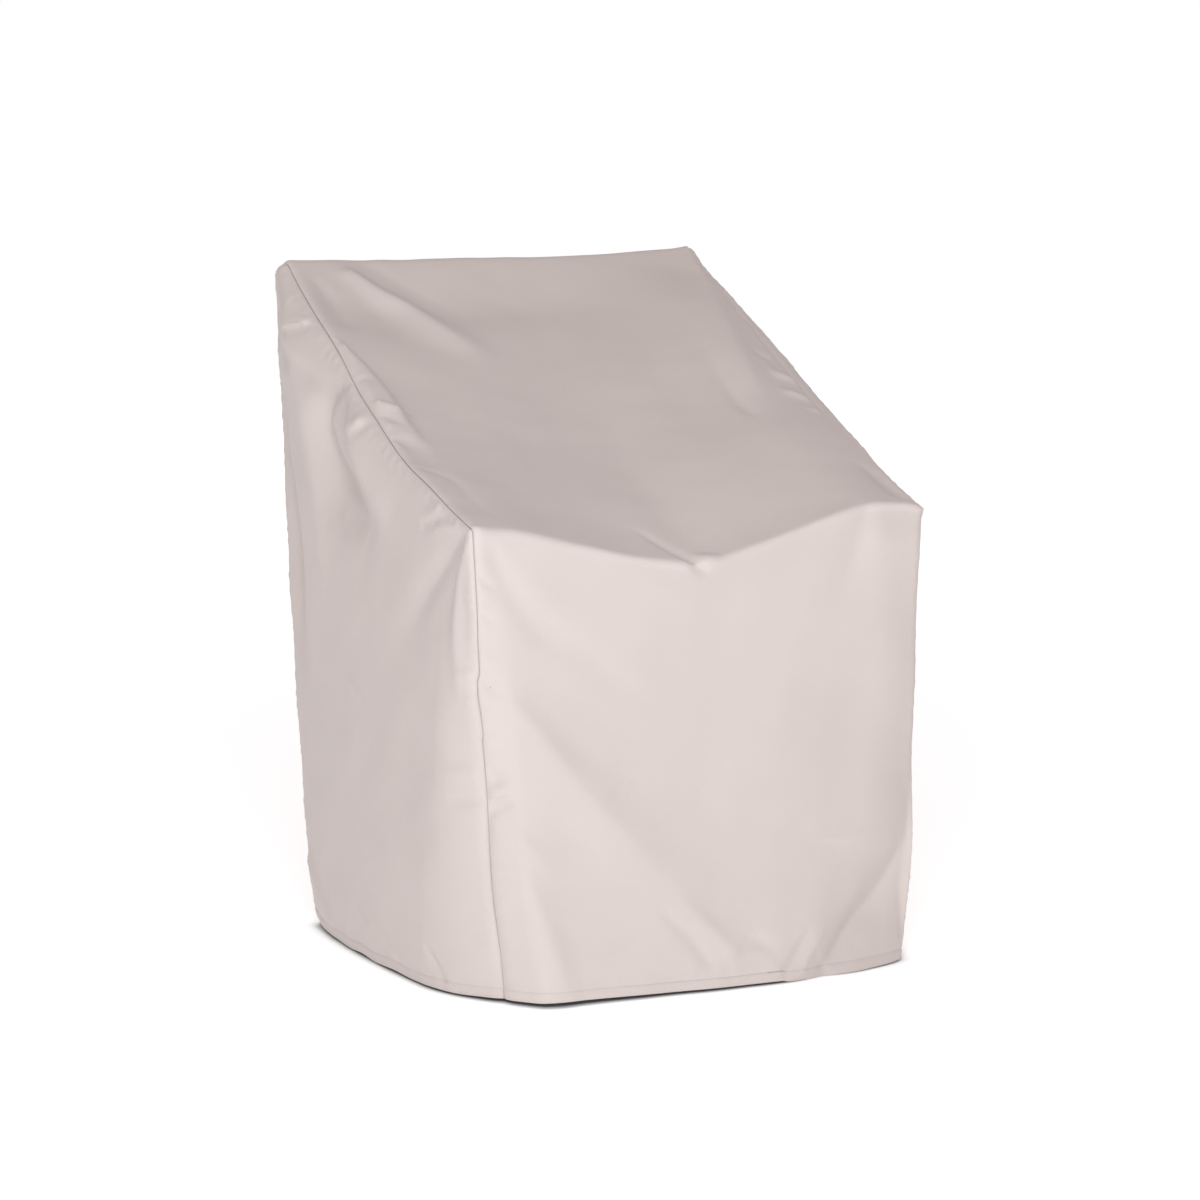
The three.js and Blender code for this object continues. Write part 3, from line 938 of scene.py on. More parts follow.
@dataclass
class Topstitch:
    """A line of stitches, as short bars of thread with closed ends.

    The profile gives the thickness of a stitch along it, as shares of half its length and of its
    radius. Its middle stands out of the cloth and its ends sink into it, in shares of the radius.
    """

    pitch: float = 4.6
    length: float = 3.5
    radius: float = 0.34
    sides: int = 6
    stand: float = 0.15
    sink: float = 0.5
    profile: tuple[tuple[float, float], ...] = (
        (-1.0, 0.35), (-0.7, 0.85), (0.0, 1.0), (0.7, 0.85), (1.0, 0.35),
    )

    def build(
        self, name: str, line: Array, normals: Array, material: bpy.types.Material
    ) -> bpy.types.Object:
        """Sews the stitches along a line on the cloth.

        Args:
            name: The piece's name.
            line: The line's points.
            normals: The cloth's normals there.
            material: The thread.

        Returns:
            The stitches as one object.
        """
        lengths = lengths_along(line)
        at = np.arange(self.pitch, lengths[-1] - self.pitch, self.pitch)
        along = unit(read_along(at + 1, lengths, line) - read_along(at - 1, lengths, line))
        up = unit(read_along(at, lengths, normals))
        beside = np.cross(along, up)
        vertices = []
        for share, thick in self.profile:
            centre = read_along(at + share * self.length / 2, lengths, line)
            centre = centre + up * self.radius * (self.stand - self.sink * abs(share))
            for turn in np.arange(self.sides) * math.tau / self.sides:
                spoke = beside * math.cos(turn) + up * math.sin(turn)
                vertices.append(centre + spoke * self.radius * thick)
        grid = np.arange(len(vertices)).reshape(-1, self.sides)
        onward = np.roll(grid, -1, 1)
        walls = np.stack([grid[:-1], grid[1:], onward[1:], onward[:-1]], -1).reshape(-1, 4)
        caps = np.stack([grid[0], grid[-1][::-1]])
        starts = np.arange(len(at))[:, None, None] * len(vertices)
        faces = (walls + starts).reshape(-1, 4).tolist()
        faces += (caps + starts).reshape(-1, self.sides).tolist()
        return make_mesh(name, np.stack(vertices, 1).reshape(-1, 3), [faces], [material])


STRIP_FOLDS = (
    # the long fold from the top edge, left of the middle
    Fold((
        (-234, -687, 9, 14), (-208, -649, 15, 20), (-178, -618, 17, 24), (-154, -578, 15, 28),
        (-132, -546, 10, 30), (-113, -513, 4, 30),
    ), 1.7),
    Fold(((-195, -711, -2, 14), (-157, -676, -2, 16), (-115, -646, -1, 18)), 1.6),
    Fold(((-290, -666, -2, 10), (-283, -633, -4, 16), (-283, -576, -3, 18))),
    # the roll of cloth beside the left seam
    Fold((
        (-317, -512, 2, 8), (-311, -481, 7, 12), (-300, -438, 10, 17), (-295, -391, 12, 20),
        (-295, -353, 12, 22), (-292, -312, 9, 22), (-288, -275, 4, 20),
    ), 1.7, 0.5),
    # the folds that the left seam gathers, from the top down
    Fold(((-322, -498, 2, 5), (-311, -486, 1, 6))),
    Fold(((-320, -425, -2, 4), (-306, -415, -1, 5))),
    Fold(((-324, -367, 5, 4), (-305, -348, 5, 5), (-278, -338, 2, 6)), 1.5, 0.3),
    Fold(((-324, -341, -3, 5), (-311, -324, -3, 7), (-296, -308, -1, 7))),
    Fold(((-325, -290, 3, 5), (-324, -271, 3, 7))),
    Fold(((-323, -279, -3, 10), (-303, -265, -4, 14), (-304, -223, -2, 16))),
    Fold(((-317, -200, -2, 7), (-288, -167, -3, 8), (-286, -102, -2, 9), (-280, -41, -1, 10)), 1.5),
    # the tongue beside the right seam
    Fold((
        (318, -668, 4, 18), (290, -562, 9, 28), (274, -483, 13, 34), (260, -418, 13, 36),
        (251, -365, 9, 34), (246, -322, 4, 28), (237, -276, 1, 20),
    ), 1.6, 0.1),
    Fold(((219, -453, -1, 14), (213, -376, -3, 14), (210, -318, -4, 12), (213, -283, -2, 9)), 1.8),
    # the puckers along the right seam
    Fold(((292, -427, -3, 7), (305, -419, -3, 7))),
    Fold(((322, -363, 5, 6), (303, -370, 6, 8), (295, -393, 1, 8)), 1.5),
    Fold(((316, -315, 4, 6), (301, -323, 5, 7), (286, -332, 1, 7)), 1.5),
    Fold(((324, -281, 3, 5), (312, -283, 4, 6), (303, -289, 0.5, 6)), 1.5),
    Fold(((307, -111, -3, 12), (312, -74, -6, 16), (314, -35, -5, 16))),
    # the pinch at the dip of the front edge
    Fold((
        (-67, -74, -1, 7), (-45, -45, -4, 8), (-25, -18, -6, 9), (-11, 2, -6, 8), (-1, 11, -2, 6),
    ), 1.6),
    Fold(((-7, -13, 2, 7), (7, -7, 4, 9), (23, 1, 1, 9))),
    # the left of the front, below the corner
    Fold(((-302, 26, -2, 10), (-281, 73, -4, 20), (-240, 115, -4, 28), (-172, 137, -2, 30))),
    Fold(((-319, 64, -3, 5), (-306, 69, -2, 5))),
    Fold(((-319, 107, -3, 5), (-307, 110, -2, 5))),
    Fold(((-321, 176, -3, 5), (-310, 176, -2, 5))),
    Fold(((-317, 189, -3, 6), (-303, 200, -5, 8), (-292, 208, -2, 9)), 1.4),
    Fold(((-317, 254, -3, 5), (-307, 255, -2, 5))),
    # the long fold across the front
    Fold((
        (-303, 201, 0.5, 12), (-286, 215, 2.5, 16), (-253, 246, 5, 26), (-210, 298, 7, 38),
        (-142, 361, 7, 48), (-71, 419, 4, 46),
    ), 1.6, 0.15),
    # the tucks and folds below it along the left seam
    Fold(((-310, 303, -3, 6), (-301, 312, -5, 8), (-293, 324, -2, 9)), 1.7),
    Fold(((-308, 338, 3, 6), (-294, 326, 6, 7))),
    Fold(((-309, 358, -4, 6), (-293, 343, -5, 7))),
    Fold(((-306, 360, 2, 5), (-286, 384, 3, 10), (-250, 421, 1, 14))),
    Fold((
        (-306, 372, 1, 6), (-286, 415, 2, 14), (-266, 470, 4, 22), (-248, 529, 5, 26),
        (-233, 582, 5, 30),
    ), 1.7, 0.3),
    # above the front hem
    Fold(((32, 248, -1, 6), (-16, 289, -1.8, 7), (-65, 336, -0.5, 8)), 1.3),
    Fold(((-84, 457, -1.5, 10), (-51, 485, -2.5, 10), (-27, 515, -2, 9))),
    Fold(((-58, 440, 1, 12), (-23, 471, 3, 14), (15, 510, 3, 12)), 1.6),
    Fold(((17, 509, -2, 7), (40, 498, -4, 10), (65, 519, -2, 8))),
    Fold(((126, 525, -2, 7), (109, 539, -4, 8), (90, 559, -3, 7))),
    Fold(((148, 537, 2, 8), (127, 552, 4, 8), (117, 567, 3, 7))),
    # the right of the front, with its deep fold
    Fold(((241, 9, -3, 14), (221, 67, -4, 22), (179, 120, -1, 30))),
    Fold(((262, 48, 3, 30), (259, 260, 4, 34), (246, 392, 3, 34))),
    Fold((
        (306, 340, -2, 26), (306, 405, -8, 36), (304, 452, -16, 44), (286, 496, -29, 50),
        (256, 530, -37, 50), (208, 556, -36, 48), (160, 580, -22, 42),
    ), 1.3, 0.2),
    # down the back
    Fold(((-210, -905, -4, 34), (-197, -1150, -8, 40), (-205, -1400, -6, 46))),
    Fold(((120, -860, -3, 36), (135, -1110, -7, 40), (110, -1380, -6, 44))),
    Fold(((-40, -1120, 4, 40), (-35, -1330, 8, 44), (-50, -1600, 9, 48))),
    Fold(((230, -1300, -3, 30), (228, -1455, -6, 33), (240, -1620, -8, 36))),
)

LEFT_FOLDS = (
    # the puckers below the top corner
    Fold(((207, 857, 4, 7), (223, 854, 6, 8), (267, 848, 3, 9)), 1.5),
    Fold(((200, 849, -3, 6), (227, 844, -5, 7), (263, 839, -3, 8))),
    Fold(((259, 805, -3, 14), (186, 780, -5, 16), (110, 763, -3, 10))),
    # the long fold below the slope's seam
    Fold((
        (91, 769, -4, 14), (131, 746, -12, 24), (145, 715, -20, 32), (134, 681, -26, 37),
        (104, 650, -26, 39), (48, 619, -18, 37), (-9, 591, -5, 26),
    ), 1.8, 0.2),
    Fold((
        (63, 755, 3, 20), (44, 718, 10, 28), (25, 687, 12, 32), (-1, 655, 11, 32),
        (-38, 624, 8, 28), (-70, 594, 2, 22),
    ), 1.6, -0.2),
    Fold(((21, 737, 5, 8), (22, 725, 6, 11), (45, 702, 3, 11)), 1.6, 0.3),
    Fold(((4, 725, -3, 7), (24, 713, -4, 8), (52, 702, -3, 8))),
    Fold(((79, 593, 2, 5), (40, 564, 1, 5))),
    Fold(((106, 580, 1, 5), (56, 554, 1, 5))),
    # the folds at the front corner
    Fold(((-218, 632, 3, 8), (-209, 622, 4, 10), (-177, 608, 2, 10)), 1.5),
    Fold(((-171, 600, -3, 7), (-210, 610, -3, 8))),
    Fold(((-209, 599, 2, 6), (-249, 604, 3, 6), (-291, 603, 2, 6))),
    Fold(((-290, 600, -3, 10), (-220, 548, -6, 18), (-170, 501, -5, 24), (-120, 441, -2, 32)), 1.8),
    Fold((
        (-296, 579, 2, 7), (-279, 538, 5, 12), (-271, 487, 6, 14), (-276, 431, 4, 14),
        (-281, 387, 1, 12),
    ), 1.8),
    Fold(((-274, 417, 1, 6), (-289, 419, 2, 7), (-302, 416, 1, 6))),
    Fold(((-256, 293, 1, 8), (-283, 292, 2.5, 9), (-303, 289, 1.5, 7))),
    Fold(((-265, 258, -2, 8), (-301, 259, -2, 7))),
    # down the rear
    Fold((
        (294, 743, -3, 16), (299, 687, -8, 18), (286, 632, -14, 22), (274, 577, -16, 26),
        (269, 508, -13, 30), (260, 410, -5, 32),
    ), 1.6),
    Fold((
        (301, 907, 6, 28), (267, 854, 12, 38), (243, 800, 12, 42), (220, 753, 9, 38),
        (195, 706, 10, 36), (161, 646, 14, 40), (144, 587, 8, 42), (142, 532, 3, 40),
    ), 1.6),
    Fold(((38, 372, 1.5, 8), (-7, 349, 1, 8))),
    Fold(((322, 60, 2, 14), (325, 200, 2, 14), (327, 330, 2, 14))),
    # above the hem
    Fold(((296, 90, 4, 14), (257, 53, 5, 18), (199, 21, 3, 18))),
    Fold(((-182, 50, -3, 9), (-197, 33, -5, 9), (-210, 18, -3, 9))),
    Fold(((75, 80, 1.5, 9), (19, 40, 2.5, 10))),
    Fold(((-15, 59, 1.5, 9), (-60, 25, 2.5, 10))),
)

# The right panel doesn't show, so its calm folds are guessed.
RIGHT_FOLDS = (
    Fold(((120, 790, -8, 18), (100, 682, -8, 22), (10, 560, -3, 26))),
    Fold(((-290, 590, -7, 16), (-222, 497, -6, 22), (-170, 400, -2, 28))),
    Fold(((318, 700, 6, 18), (260, 555, 6, 21), (200, 400, 3, 24))),
    Fold(((60, 200, -2, 28), (43, 101, -4, 30), (30, 4, -6, 32))),
    Fold(((-160, 160, 2, 26), (-154, 81, 4, 28), (-155, 4, 6, 30))),
)


@dataclass
class HemLap:
    """The place on the front hem where the turned cloth laps over itself."""

    x: float = 88
    fullness: float = 0.9
    height: float = 18
    fade: float = 70
    step: float = 3
    # The short bar of dense stitches in dark thread at the lap: painted shadow under the lapped
    # hem's end.
    shadow_tack_length: float = 27
    shadow_tack: Topstitch = field(default_factory=lambda: Topstitch(pitch=1.3, length=1.9, radius=0.42))

    def rise(self, x: Array, from_hem: Array) -> Array:
        """Works out how far the lap stands out of the cloth.

        Args:
            x: Places across the cloth.
            from_hem: Heights above the hem.

        Returns:
            The rise at each place.
        """
        past = smooth_step((x - self.x) / self.step) * (1 - smooth_step((x - self.x) / self.fade))
        above = smooth_step((from_hem - self.height + self.step) / self.step)
        return self.fullness * past * (1 - above)

    def shadow_tacked(self, x: Array) -> Array:
        """Returns which lines of the cloth the bar of dark stitches crosses; their darkness is
        painted shadow.
        """
        return (x > self.x - self.shadow_tack_length - self.step) & (x < self.x + self.step)


@dataclass
class HemBand:
    """The turned hem: a doubled band with a round edge and a dent along its stitching."""

    depth: float = 15
    stitch_height: float = 13.5
    fullness: float = 0.9
    step: float = 2
    doubled: float = 1.8
    edge_fall: float = 0.5
    edge_round: float = 1.5
    dent: float = 1.3
    dent_width: float = 1.6
    hang: float = 90
    rows: tuple[float, ...] = (0, 1.2, 4, 8, 11, 12.4, 13.5, 14.6, 16.2, 19)

    def rise(self, from_hem: Array) -> Array:
        """Works out how far the band stands out of the cloth.

        Args:
            from_hem: Heights above the hem.

        Returns:
            The rise at each height.
        """
        above = smooth_step((from_hem - self.depth + self.step / 2) / self.step)
        edge = self.edge_fall * self.fullness * (1 - smooth_step(from_hem / self.edge_round))
        dent = self.dent * np.exp(-(((from_hem - self.stitch_height) / self.dent_width) ** 2))
        return self.fullness * (1 - above) - edge - dent

    def thickness(self, from_hem: Array, cloth: float) -> Array:
        """Returns the cloth's thickness at a height above the hem."""
        return np.where(from_hem < self.depth + self.step / 2, self.doubled * cloth, cloth)

    def share(self, from_hem: Array) -> Array:
        """Returns the share of the hem's own rise or fall that reaches up to a height."""
        return 1 - smooth_step(from_hem / self.hang)


# Where the grids have close lines: distances from a seam, from the front edge, and from the top
# edge up the back and down the slope.
SEAM_LINES = (0, 0.6, 1.2, 2.0, 3.2, 5.2, 8.5, 13)
EDGE_LINES = (0, 1.5, 3.2, 5.5, 8.5)
BACK_TOP_LINES = (0, 8)
SLOPE_TOP_LINES = (0, 5)

# The lengths of the cloth that the grids divide.
BACK_LENGTH = 945
SLOPE_LENGTH = 740
FRONT_LENGTH = 590


@dataclass
class SeamGroove:
    """The groove where two panels are sewn."""

    depth: float = 1.4
    width: float = 0.8
    gap: float = 0.22
    hold_width: float = 8
    pucker_hold: float = 2.5
    wander_width: float = 22

    def dip(self, from_seam: Array) -> Array:
        """Returns how far the cloth dips into the seam at a distance from it."""
        return self.depth * np.exp(-((from_seam / self.width) ** 2))

    def hold(self, from_seam: Array) -> Array:
        """Returns the share of its height that a fold keeps at a distance from the seam."""
        return smooth_step(from_seam / self.hold_width)

    def wander(self, from_seam: Array) -> Array:
        """Returns the share of the seam's sideways wander at a distance from it."""
        return np.exp(-((from_seam / self.wander_width) ** 2))

    def edge(self, seam: Seam, gap: float) -> Array:
        """Works out where a sewn edge lies, deep in the groove.

        Args:
            seam: The seam.
            gap: How far the edge lies from it, towards the side panel.

        Returns:
            One point for each station of the seam.
        """
        deep = seam.points - seam.normals * self.depth
        return deep + seam.to_side * (seam.wander[:, None] + gap)


@dataclass
class CentrePanel:
    """The strip up the back, down the slope and down the front, with both its hems."""

    drape: Drape
    name: str = "centre_cloth"
    node: str = "centre_panel"
    flat: tuple[float, float] = (0.66, 2.30)
    thickness: float = 1.0
    pitch_across: float = 5.1
    pitch_slope: float = 4.7
    pitch_front: float = 4.8
    pitch_back: float = 28
    hem: HemBand = field(default_factory=HemBand)
    groove: SeamGroove = field(default_factory=SeamGroove)
    topstitch: Topstitch = field(default_factory=Topstitch)
    lap: HemLap = field(default_factory=HemLap)
    ripple: Ripple = Ripple(seed=11)
    seam_puckers: Puckers = Puckers((12, 36), (9, 26), (0.35, 1.3), (3, 6))
    hem_puckers: Puckers = Puckers((18, 50), (14, 46), (0.25, 0.9), (4, 8))
    folds: tuple[Fold, ...] = STRIP_FOLDS

    def shape(self) -> DrapedCloth:
        """Works out the panel's drape, with its folds, seams and hems.

        Returns:
            The draped cloth.
        """
        across = uneven_shares(
            2 * self.drape.front_half_width, SEAM_LINES, SEAM_LINES, self.pitch_across
        )
        back = uneven_shares(BACK_LENGTH, self.hem.rows, BACK_TOP_LINES, self.pitch_back)
        slope = uneven_shares(SLOPE_LENGTH, SLOPE_TOP_LINES, EDGE_LINES, self.pitch_slope)
        front = uneven_shares(FRONT_LENGTH, self.hem.rows, EDGE_LINES, self.pitch_front)
        strip = Strip(self.drape, across, back, slope, 1 - front[::-1])
        seams = {side: strip.seam(side) for side in Side}
        points, below_edge = strip.points, strip.below_edge
        from_left = points[..., 0] - points[:1, :, 0]
        from_right = points[-1:, :, 0] - points[..., 0]
        bends = [
            self.drape.bend(distance, seams[side].lean)
            for distance, side in ((from_left, Side.LEFT), (from_right, Side.RIGHT))
        ]
        from_seam = np.minimum(from_left, from_right)
        rise = mix(*bends, smooth_step(from_left / (from_left + from_right)))
        folds = folds_rise(self.folds, points[..., 0], below_edge)
        rise += folds * self.groove.hold(from_seam)
        small = folds_rise(self.small_folds(strip, seams), points[..., 0], below_edge)
        small += self.ripple.rise(points[..., 0], below_edge)
        rise += small * smooth_step(from_seam / self.groove.pucker_hold)
        rise += self.hem.rise(strip.from_hem)
        in_front = below_edge > 0
        rise += self.lap.rise(points[..., 0], strip.from_hem) * in_front
        face = points + strip.normals * rise[..., None]
        left_half = (from_left < from_right)[..., None]
        left, right = seams[Side.LEFT], seams[Side.RIGHT]
        outward = np.where(left_half, left.normals[None], right.normals[None])
        face -= outward * self.groove.dip(from_seam)[..., None]
        wander = left.wander[None] * self.groove.wander(from_left)
        face += left.to_side[None] * wander[..., None]
        normals = grid_normals(face)
        for line, seam in ((0, left), (-1, right)):
            face[line] = self.groove.edge(seam, -self.groove.gap)
            normals[line] = seam.normals
        hem_height = self.drape.front_hem.read("up", points[..., 0]) * in_front
        face[..., 2] += hem_height * self.hem.share(strip.from_hem)
        places = np.stack([points[..., 0], below_edge], -1)
        return DrapedCloth(face, normals, places, strip.from_hem)

    def build(self, finishes: Finishes) -> list[bpy.types.Object]:
        """Makes the panel, its topstitching and the bar of dark stitches at the hem's lap, whose
        darkness is painted shadow under the lap's end.

        Args:
            finishes: The cover's finishes.

        Returns:
            The cloth, then its stitches.
        """
        cloth = self.shape()
        thickness = self.hem.thickness(cloth.from_hem, self.thickness)
        piece = cloth.build(self.name, thickness, finishes)
        row = self.hem.rows.index(self.hem.stitch_height)
        stitches = [
            self.topstitch.build(
                f"centre_topstitch_{end}", cloth.face[:, at], cloth.normals[:, at], finishes.thread
            )
            for end, at in (("back", row), ("front", -1 - row))
        ]
        row = -1 - row
        shadow_tacked = self.lap.shadow_tacked(cloth.places[:, row, 0])
        line, normals = cloth.face[shadow_tacked, row], cloth.normals[shadow_tacked, row]
        # A bar of dark stitches where the hem laps: painted shadow under the lap's end.
        stitches.append(self.lap.shadow_tack.build("lap_tack_painted_shadow", line, normals, finishes.shadow_tack))
        dress(piece, self.node, stitches)
        return [piece, *stitches]

    def small_folds(self, strip: Strip, seams: dict[Side, Seam]) -> list[Fold]:
        """Gathers the small puckers beside the seams and above the hems.

        Args:
            strip: The panel's base surface.
            seams: Its two seams.

        Returns:
            One fold for each pucker.
        """
        folds = []
        for side, seed in ((Side.LEFT, 3), (Side.RIGHT, 4)):
            seam = seams[side]
            line = np.stack([seam.points[:, 0], seam.below_edge], -1)
            inward = np.tile([-side.value, 0.0], (len(line), 1))
            folds += self.seam_puckers.folds(line, inward, seed)
        for row, away, seed in ((0, 1.0, 5), (-1, -1.0, 6)):
            line = np.stack([strip.points[:, row, 0], strip.below_edge[:, row]], -1)
            line[:, 1] += away * self.hem.stitch_height
            folds += self.hem_puckers.folds(line, np.tile([0.0, away], (len(line), 1)), seed)
        return folds


@dataclass
class SidePanel:
    """A side panel, which hangs from the strip along the front, the slope and the back.

    Its MIDDLE tells which side of the seam is inward.
    """

    MIDDLE = (0.0, 350.0)

    drape: Drape
    side: Side
    folds: tuple[Fold, ...]
    area: float
    seed: int
    flat: tuple[float, float] = (0.67, 0.95)
    thickness: float = 1.0
    pitch_across: float = 3.8
    pitch_up: float = 3.6
    hem: HemBand = field(default_factory=HemBand)
    groove: SeamGroove = field(default_factory=SeamGroove)
    topstitch: Topstitch = field(default_factory=Topstitch)
    seam_puckers: Puckers = Puckers((10, 26), (9, 26), (0.5, 1.9), (3, 5.5))
    hem_puckers: Puckers = Puckers((16, 44), (14, 46), (0.3, 1.1), (4, 8))

    def shape(self) -> DrapedCloth:
        """Works out the panel's drape, with its folds, seams and hem.

        Returns:
            The draped cloth.
        """
        drape, sign = self.drape, self.side.value
        up = uneven_shares(FRONT_LENGTH, self.hem.rows, SEAM_LINES, self.pitch_up)
        pitch = self.pitch_up * BACK_LENGTH / FRONT_LENGTH
        back_up = uneven_shares(BACK_LENGTH, self.hem.rows, SEAM_LINES, pitch)
        back_up = np.interp(np.linspace(0, 1, len(up)), np.linspace(0, 1, len(back_up)), back_up)
        depth = uneven_shares(SLOPE_LENGTH, SEAM_LINES, SEAM_LINES, self.pitch_across)
        edge = np.array([0.0 if self.side is Side.LEFT else 1.0])
        seam = Strip(drape, edge, back_up, 1 - depth[::-1], 1 - up[::-1]).seam(self.side)
        rows, lines = len(up), len(depth)
        back = seam.points[:rows]
        slope = seam.points[rows - 1 : rows + lines - 1][::-1]
        front = seam.points[rows + lines - 2 :][::-1]
        points = self.blend(front, slope, back, depth, up, back_up)
        height = mix(up[None, :], back_up[None, :], depth[:, None])
        if self.side is Side.LEFT:
            lift = drape.lift((1 - depth) * 2 * drape.top_y) - depth * drape.corner_lift
            points[..., 2] += lift[:, None] * (1 - height) ** drape.lift_ease
        distance, place, _ = nearest_on(seam.points, points.reshape(-1, 3))
        distance, place = distance.reshape(lines, rows), place.reshape(lines, rows)
        nearest = np.rint(place).astype(int)
        bend = self.bend(seam, points, distance, nearest)
        bow = self.bow(depth[:, None], height)
        a, b = points[..., 1], points[..., 2]
        rise = folds_rise(self.folds, a, b) * self.groove.hold(distance)
        small = folds_rise(self.small_folds(seam, points), a, b)
        small += Ripple(self.seed).rise(a, b)
        rise += small * smooth_step(distance / self.groove.pucker_hold)
        from_hem = np.broadcast_to(up[None, :] * FRONT_LENGTH, a.shape)
        rise += self.hem.rise(from_hem)
        face = points.copy()
        face[..., 0] += sign * (bend + bow + rise)
        face -= seam.normals[nearest] * self.groove.dip(distance)[..., None]
        wander = seam.wander[nearest] * self.groove.wander(distance)
        face += seam.to_side[nearest] * wander[..., None]
        normals = grid_normals(face) * -sign
        sewn = [
            (slice(0, 1), slice(None), np.arange(len(seam.points))[::-1][:rows]),
            (slice(-1, None), slice(None), np.arange(rows)),
            (slice(None), slice(-1, None), np.arange(rows - 1, rows + lines - 1)[::-1]),
        ]
        edge_points = self.groove.edge(seam, self.groove.gap)
        for line, row, stations in sewn:
            shape = face[line, row].shape
            face[line, row] = edge_points[stations].reshape(shape)
            normals[line, row] = seam.normals[stations].reshape(shape)
        if self.side is Side.LEFT:
            face[..., 2] += drape.left_hem.read("up", a) * self.hem.share(from_hem)
        return DrapedCloth(face, normals, np.stack([a, b], -1), from_hem)

    def bend(self, seam: Seam, points: Array, distance: Array, nearest: Array) -> Array:
        """Works out how far the panel rises out of its seam and swells beside the slope.

        Args:
            seam: The panel's seam.
            points: Its base surface.
            distance: The distance of each point from the seam.
            nearest: The station of the seam that is nearest to each point.

        Returns:
            The rise of each point.
        """
        drape, tilt = self.drape, np.pi / 2 - seam.lean
        whole = drape.bend(np.inf, tilt)
        swell = drape.slope_seam.read("swell", seam.points[:, 1]) * (self.side is Side.RIGHT)
        far = spread(seam.points, np.stack([whole, swell], -1), points.reshape(-1, 3))
        far_bend, far_swell = far.T.reshape(2, *distance.shape)
        bend = far_bend * drape.bend(distance, tilt[nearest]) / whole[nearest]
        rounded = np.sqrt(1 - (1 - np.clip(distance / drape.swell_width, 0, 1)) ** 2)
        return bend + far_swell * rounded * (1 - smooth_step(distance / drape.swell_fade))

    def bow(self, depth: Array, height: Array) -> Array:
        """Works out how far the panel bows outward between its edges.

        Args:
            depth: Shares of the panel's depth, from the front.
            height: Shares of its height.

        Returns:
            The bow at each point.
        """
        drape = self.drape
        belly = 1 - np.abs(2 * depth - 1) ** drape.side_ease
        if self.side is Side.LEFT:
            low = round_end(depth, drape.corner_round.read("share", height))
            low = low - np.clip(mix(-drape.rear_start, 1, depth), 0, 1) ** drape.rear_fall
            high = round_end(1 - depth, drape.rear_round) * depth
            above = smooth_step((height - drape.belly_turn) / (1 - drape.belly_turn))
            belly = mix(low, high, above)
        return drape.side_bow.read(self.side.name.lower(), height) * belly

    def build(self, finishes: Finishes, hangs_from: str) -> list[bpy.types.Object]:
        """Makes the panel and its topstitching.

        Args:
            finishes: The cover's finishes.
            hangs_from: The name of the cloth that it is sewn to. Not used.

        Returns:
            The cloth, then its stitches.
        """
        word = self.side.name.lower()
        cloth = self.shape()
        row = self.hem.rows.index(self.hem.stitch_height)
        stitches = self.topstitch.build(
            f"{word}_topstitch", cloth.face[:, row], cloth.normals[:, row], finishes.thread
        )
        if self.side is Side.RIGHT:
            cloth = cloth.flipped()
        thickness = self.hem.thickness(cloth.from_hem, self.thickness)
        piece = cloth.build(f"{word}_cloth", thickness, finishes)
        dress(piece, f"{word}_panel", [stitches])
        return [piece, stitches]

    def blend(
        self, front: Array, slope: Array, back: Array, depth: Array, up: Array, back_up: Array
    ) -> Array:
        """Blends the panel's four edges into a surface.

        Args:
            front: The front seam's points, from the hem up.
            slope: The slope's seam, from the front to the back.
            back: The back seam's points, from the hem up.
            depth: Shares of the panel's depth, from the front.
            up: Shares of the front seam's height.
            back_up: Shares of the back seam's height.

        Returns:
            A grid of points, with a line for each share of the depth.
        """
        share = depth[:, None, None]
        height = mix(up[None, :], back_up[None, :], depth[:, None])[..., None]
        hem = mix(front[:1], back[:1], share)
        upright = mix(front[None], back[None], share)
        corners = mix(hem, mix(slope[:1], slope[-1:], share), height)
        return mix(hem, slope[:, None], height) + upright - corners

    def small_folds(self, seam: Seam, points: Array) -> list[Fold]:
        """Gathers the small puckers beside the seam and above the hem.

        Args:
            seam: The panel's seam.
            points: Its base surface.

        Returns:
            One fold for each pucker.
        """
        line = seam.points[:, 1:]
        along = unit(np.gradient(line, axis=0))
        inward = np.stack([-along[:, 1], along[:, 0]], -1)
        inward *= np.where(((self.MIDDLE - line) * inward).sum(1, keepdims=True) < 0, -1, 1)
        folds = self.seam_puckers.folds(line, inward, self.seed)
        hem = points[:, 0, 1:] + np.array([0, self.hem.stitch_height])
        upward = np.tile([0.0, 1.0], (len(hem), 1))
        return folds + self.hem_puckers.folds(hem, upward, self.seed + 1)


def dress(
    cloth: bpy.types.Object,
    node: str,
    sewn_on: list[bpy.types.Object],
) -> None:
    """Puts a cloth and what is sewn on it in the part's frame.

    Args:
        cloth: The cloth.
        node: The CAD node that it stands for.
        sewn_on: The pieces sewn on it.
    """
    for piece in (cloth, *sewn_on):
        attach(piece, "root")
    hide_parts(node)


def direction_to(azimuth: float, elevation: float) -> Vector:
    """Works out the direction of a place from the cover.

    Args:
        azimuth: The place's angle to the left of straight ahead of the cover, in radians.
        elevation: Its angle above the floor, in radians.

    Returns:
        The direction, at a length of 1.
    """
    level = math.cos(elevation)
    return Vector((-math.sin(azimuth) * level, -math.cos(azimuth) * level, math.sin(elevation)))


